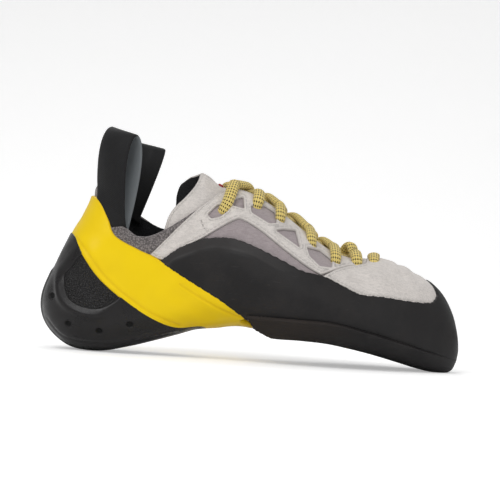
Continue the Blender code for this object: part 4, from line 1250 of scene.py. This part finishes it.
def build_pull_loop(name):
    """Webbing folded over the collar edge, as a closed strip about its middle surface."""
    side, start, end = LOOPS[name][:3]
    middle = loop_middle(*LOOPS[name])
    across_run = np.linspace(0, 1, LOOP_COLUMNS)
    slope_along, slope_across = np.gradient(middle, axis=0), np.gradient(middle, axis=1)
    outward = unit(np.cross(slope_across, slope_along)) * (1 if side < 0 else -1)
    selvedge = quarter_round(np.minimum(across_run, 1 - across_run), 0.05)[None, :, None]
    half = WEBBING_THICKNESS / 2 * np.clip(selvedge, 0.25, 1)
    long_run = run_along(middle[:, LOOP_COLUMNS // 2])
    count_rows = len(middle)
    # Out along the outer face, back along the inner face, joined at both selvedges
    ring = np.concatenate([middle + outward * half, (middle - outward * half)[:, ::-1]], axis=1)
    ring = np.concatenate([ring, ring[:, :1]], axis=1)
    width = (end - start) * LENGTH
    u = np.concatenate([across_run, across_run[::-1], [0.0]]) * width
    uv = np.stack(np.broadcast_arrays(u[None, :], long_run[:, None]), axis=-1)
    around = 2 * LOOP_COLUMNS + 1
    faces = grid_faces(count_rows, around)
    if side > 0:
        faces = faces[:, ::-1]
    caps = []
    for row, order in ((0, 1), (count_rows - 1, -1)):
        k = np.arange(LOOP_COLUMNS - 1)
        first = row * around
        other = first + around - 2
        cap = np.concatenate([np.stack([first + k, other - k, first + k + 1], axis=1),
                              np.stack([first + k + 1, other - k, other - k - 1], axis=1)])
        caps.append(cap[:, ::order * (1 if side < 0 else -1)])
    faces = np.concatenate([faces] + caps)
    inner_face = np.repeat([0.0, 1.0, 0.0], (LOOP_COLUMNS, LOOP_COLUMNS, 1))
    inner_face = np.broadcast_to(inner_face, (count_rows, around)).ravel()
    obj = make_object(name, ring.reshape(-1, 3), faces, (webbing,), attributes={"inside": inner_face},
                      uv=uv.reshape(-1, 2))
    return finish_piece(obj, "webbing", name)


def cord_mesh(name, path, up, widths, heights, material):
    """An oval tube along a path, its flat side turned to the given up direction, closed at both ends."""
    slope = unit(np.gradient(path, axis=0))
    side = unit(np.cross(slope, up))
    rise = np.cross(side, slope)
    angle = np.linspace(0, 2 * math.pi, CORD_SIDES)
    ring = (path[:, None] + side[:, None] * (np.cos(angle)[None, :, None] * widths[:, None, None] / 2)
            + rise[:, None] * (np.sin(angle)[None, :, None] * heights[:, None, None] / 2))
    start, end = (np.repeat(path[k, None, None], CORD_SIDES, axis=1) for k in (0, -1))
    ring = np.concatenate([start, ring, end])
    run = run_along(path)
    run = np.concatenate([run[:1], run, run[-1:]])
    uv = np.stack(np.broadcast_arrays(run[:, None], angle[None, :] / (2 * math.pi)), axis=-1)
    faces = grid_faces(len(ring), CORD_SIDES)
    return make_object(name, ring.reshape(-1, 3), faces, (material,), uv=uv.reshape(-1, 2))


def curve_through(points, count):
    """Even samples on a Catmull-Rom curve through rows of numbers, spaced by their share of the way."""
    table = np.array(points, float)
    padded = np.concatenate([2 * table[:1] - table[1:2], table, 2 * table[-1:] - table[-2:-1]])
    at = np.linspace(0, len(table) - 1, count)
    base = np.clip(np.floor(at).astype(int), 0, len(table) - 2)
    f = (at - base)[:, None]
    return catmull(*(padded[base + j] for j in range(4)), f)


def lace_route(near, far, bow, lift, near_through, far_through):
    """A strand between the near side's eyelet and the far side's, as (row, place over the instep, offset,
    width, height). The row changes as the bow'th power of the way. An end goes into its eyelet or under its
    edge."""
    on_leather = GAP + SUEDE_THICKNESS + LACE_HEIGHT / 2
    on_tongue = LACE_HEIGHT / 2 - WALL - GAP
    into = ((0.0, -0.0045, 0.75, 0.85), (0.0, -0.0008, 0.82, 1.0), (0.015, on_leather * 0.72, 0.96, 1.04),
            (0.055, on_leather - 0.0001, 1.0, 1.0), (0.14, on_leather - 0.0016, 1.0, 1.0))
    beneath = ((0.01, -0.0052, 1.0, 0.6), (0.05, -0.0034, 1.0, 0.7), (0.12, on_tongue - 0.0008, 1.0, 0.85))
    way = [(q, offset, width, height) for q, offset, width, height in (into if near_through else beneath)]
    way += [(q, on_tongue, 1.0, 1.0) for q in (0.28, 0.42, 0.58, 0.72)]
    way += [(1 - q, offset, width, height) for q, offset, width, height in
            (into if far_through else beneath)[::-1]]
    (s_near, v_near), (s_far, v_far) = near, far
    route = []
    for q, offset, width, height in way:
        raised = offset + lift * math.exp(-((q - 0.33) / 0.2) ** 2)
        s = s_near + (s_far - s_near) * q**bow
        route.append((s, v_near + (v_far - v_near) * q, raised, width, height))
    return route


def build_lace():
    """Strands from each eyelet over the instep to under the other side's next one; only the topmost goes into
    both eyelets. A short bar lies over the vamp in front of the throat."""
    ends = []
    for x, z in EYELETS:
        for side in (-1, 1):
            s, t = place_on_last(x, z, side)
            ends.append((s, side * (2 - abs(t))))
    near, far = ends[0::2], ends[1::2]
    routes = []
    for k, (bow_over, bow_under) in enumerate(LACE_BOWS):
        top = k == len(LACE_BOWS) - 1
        routes.append(lace_route(near[k], far[k + 1], bow_over, LACE_LIFTS[k], True, top))
        routes.append(lace_route(near[k + 1], far[k], bow_under, 0.0032 if top else 0.0, top, True))
    paths = []
    for route in routes:
        route = curve_through(route, 90)
        t = over_instep(route[:, 1])
        paths.append((on_last(route[:, 0], t, route[:, 2]), last_normal(np.clip(route[:, 0], 8, 17.9), t),
                      route[:, 3], route[:, 4]))
    bar = curve_through([(-0.90, -0.0020, 0.8, 0.8), (-0.93, 0.0012, 0.85, 0.95), (-0.97, 0.0026, 0.95, 0.9),
                         (-1.02, 0.0030, 1.0, 0.9), (-1.08, 0.0030, 1.0, 0.9), (-1.13, 0.0016, 0.95, 0.95),
                         (-1.17, -0.0020, 0.8, 0.8)], 60)
    bar_t = np.where(bar[:, 0] < -1, 2 + bar[:, 0], bar[:, 0])
    bar_s = np.linspace(18.25, 18.6, 60)
    paths.append((on_last(bar_s, bar_t, bar[:, 1]), last_normal(bar_s, bar_t), bar[:, 2], bar[:, 3]))
    for number, (path, up, widths, heights) in enumerate(paths):
        piece = cord_mesh("lace_%02d" % number, path, up, LACE_WIDTH * widths, LACE_HEIGHT * heights,
                          lace_cord)
        finish_piece(piece, "lace_cord", *(("lace",) if number == 0 else ()))


def build_tag():
    """A small cloth tag on the tongue's ridge, behind the topmost strand."""
    v = np.linspace(-0.24, 0.05, 12)
    s = np.full(12, 11.88)
    path = behind_throat(s, over_instep(v), np.full(12, -WALL - GAP + 0.0005))
    up = last_normal(s, over_instep(v))
    tag = cord_mesh("tongue_tag", path, up, np.full(12, 0.0036), np.full(12, 0.0012), tag_cloth)
    finish_piece(tag, "lace_cord")


build_upper()
build_collar_knit()
build_insole()
build_tongue()
build_rand()
build_band()
build_heel_cup()
build_vamp()
build_outsole()
build_eyestay("eyestay_lateral", -1)
build_eyestay("eyestay_medial", 1)
build_pull_loop("pull_loop_lateral")
build_pull_loop("pull_loop_medial")
build_lace()
build_tag()


def build_stage():
    """A pale floor that bends up far behind the shoe: flat, a quarter circle, and a wall."""
    radius = 1.2
    turn = np.linspace(0, math.pi / 2, 13)
    y = np.concatenate([[-4.0, 1.2], 1.2 + radius * np.sin(turn[1:]), [1.2 + radius]])
    z = np.concatenate([[0.0, 0.0], radius * (1 - np.cos(turn[1:])), [5.0]])
    x = np.array([-4.0, 4.0])
    points = np.stack(np.broadcast_arrays(x[None, :], y[:, None], z[:, None]), axis=-1)
    made, tree, shader, place = new_material("floor_pale", 0.9)
    speck = noise(tree, place["Object"], 30.0, 2.0)
    paint(tree, shader, mixed(tree, speck, scaled(PALE_FLOOR, 0.99), PALE_FLOOR))
    seen = node(tree, "ShaderNodeLightPath").outputs["Is Camera Ray"]
    shader.inputs["Emission Color"].default_value = (1.0, 1.0, 1.0, 1.0)
    tree.links.new(product(tree, seen, 0.36), shader.inputs["Emission Strength"])
    obj = make_object("floor", points.reshape(-1, 3), grid_faces(len(y), 2)[:, ::-1], (made,))


def soft_light(name, location, target, size, power):
    light = bpy.data.lights.new(name, "AREA")
    light.shape = "SQUARE"
    light.size = size
    light.energy = power
    obj = bpy.data.objects.new(name, light)
    obj.location = location
    towards = np.array(target) - np.array(location)
    obj.rotation_euler = Vector(towards).to_track_quat("-Z", "Y").to_euler()
    bpy.context.scene.collection.objects.link(obj)


CAMERA_ROLL = math.radians(3.8)
CAMERA_PLACE = (-0.0037, -1.3, 0.0659)


def build_camera():
    """The photograph's view: from the lateral side, level, a long lens, rolled as far as the photo is."""
    cosine, sine = math.cos(CAMERA_ROLL), math.sin(CAMERA_ROLL)
    x, y, z = CAMERA_PLACE
    camera = bpy.data.cameras.new("camera")
    camera.lens = 156.0
    camera.sensor_width = 36.0
    camera.clip_start = 0.05
    obj = bpy.data.objects.new("camera", camera)
    obj.matrix_world = Matrix(((cosine, -sine, 0.0, x), (0.0, 0.0, -1.0, y), (sine, cosine, 0.0, z),
                               (0.0, 0.0, 0.0, 1.0)))
    bpy.context.scene.collection.objects.link(obj)
    bpy.context.scene.camera = obj


build_stage()
build_camera()
soft_light("key", (-0.6, -1.1, 1.3), (0, 0, 0.05), 1.0, 12.0)
soft_light("fill", (1.1, -1.0, 0.7), (0, 0, 0.05), 1.2, 4.0)
soft_light("back", (-0.2, 1.1, 1.4), (0, 0, 0.05), 1.2, 7.0)
world = bpy.data.worlds.new("studio")
world.use_nodes = True
world.node_tree.nodes["Background"].inputs["Color"].default_value = (1.0, 1.0, 1.0, 1.0)
world.node_tree.nodes["Background"].inputs["Strength"].default_value = 0.42
bpy.context.scene.world = world
bpy.context.scene.view_settings.view_transform = "Standard"
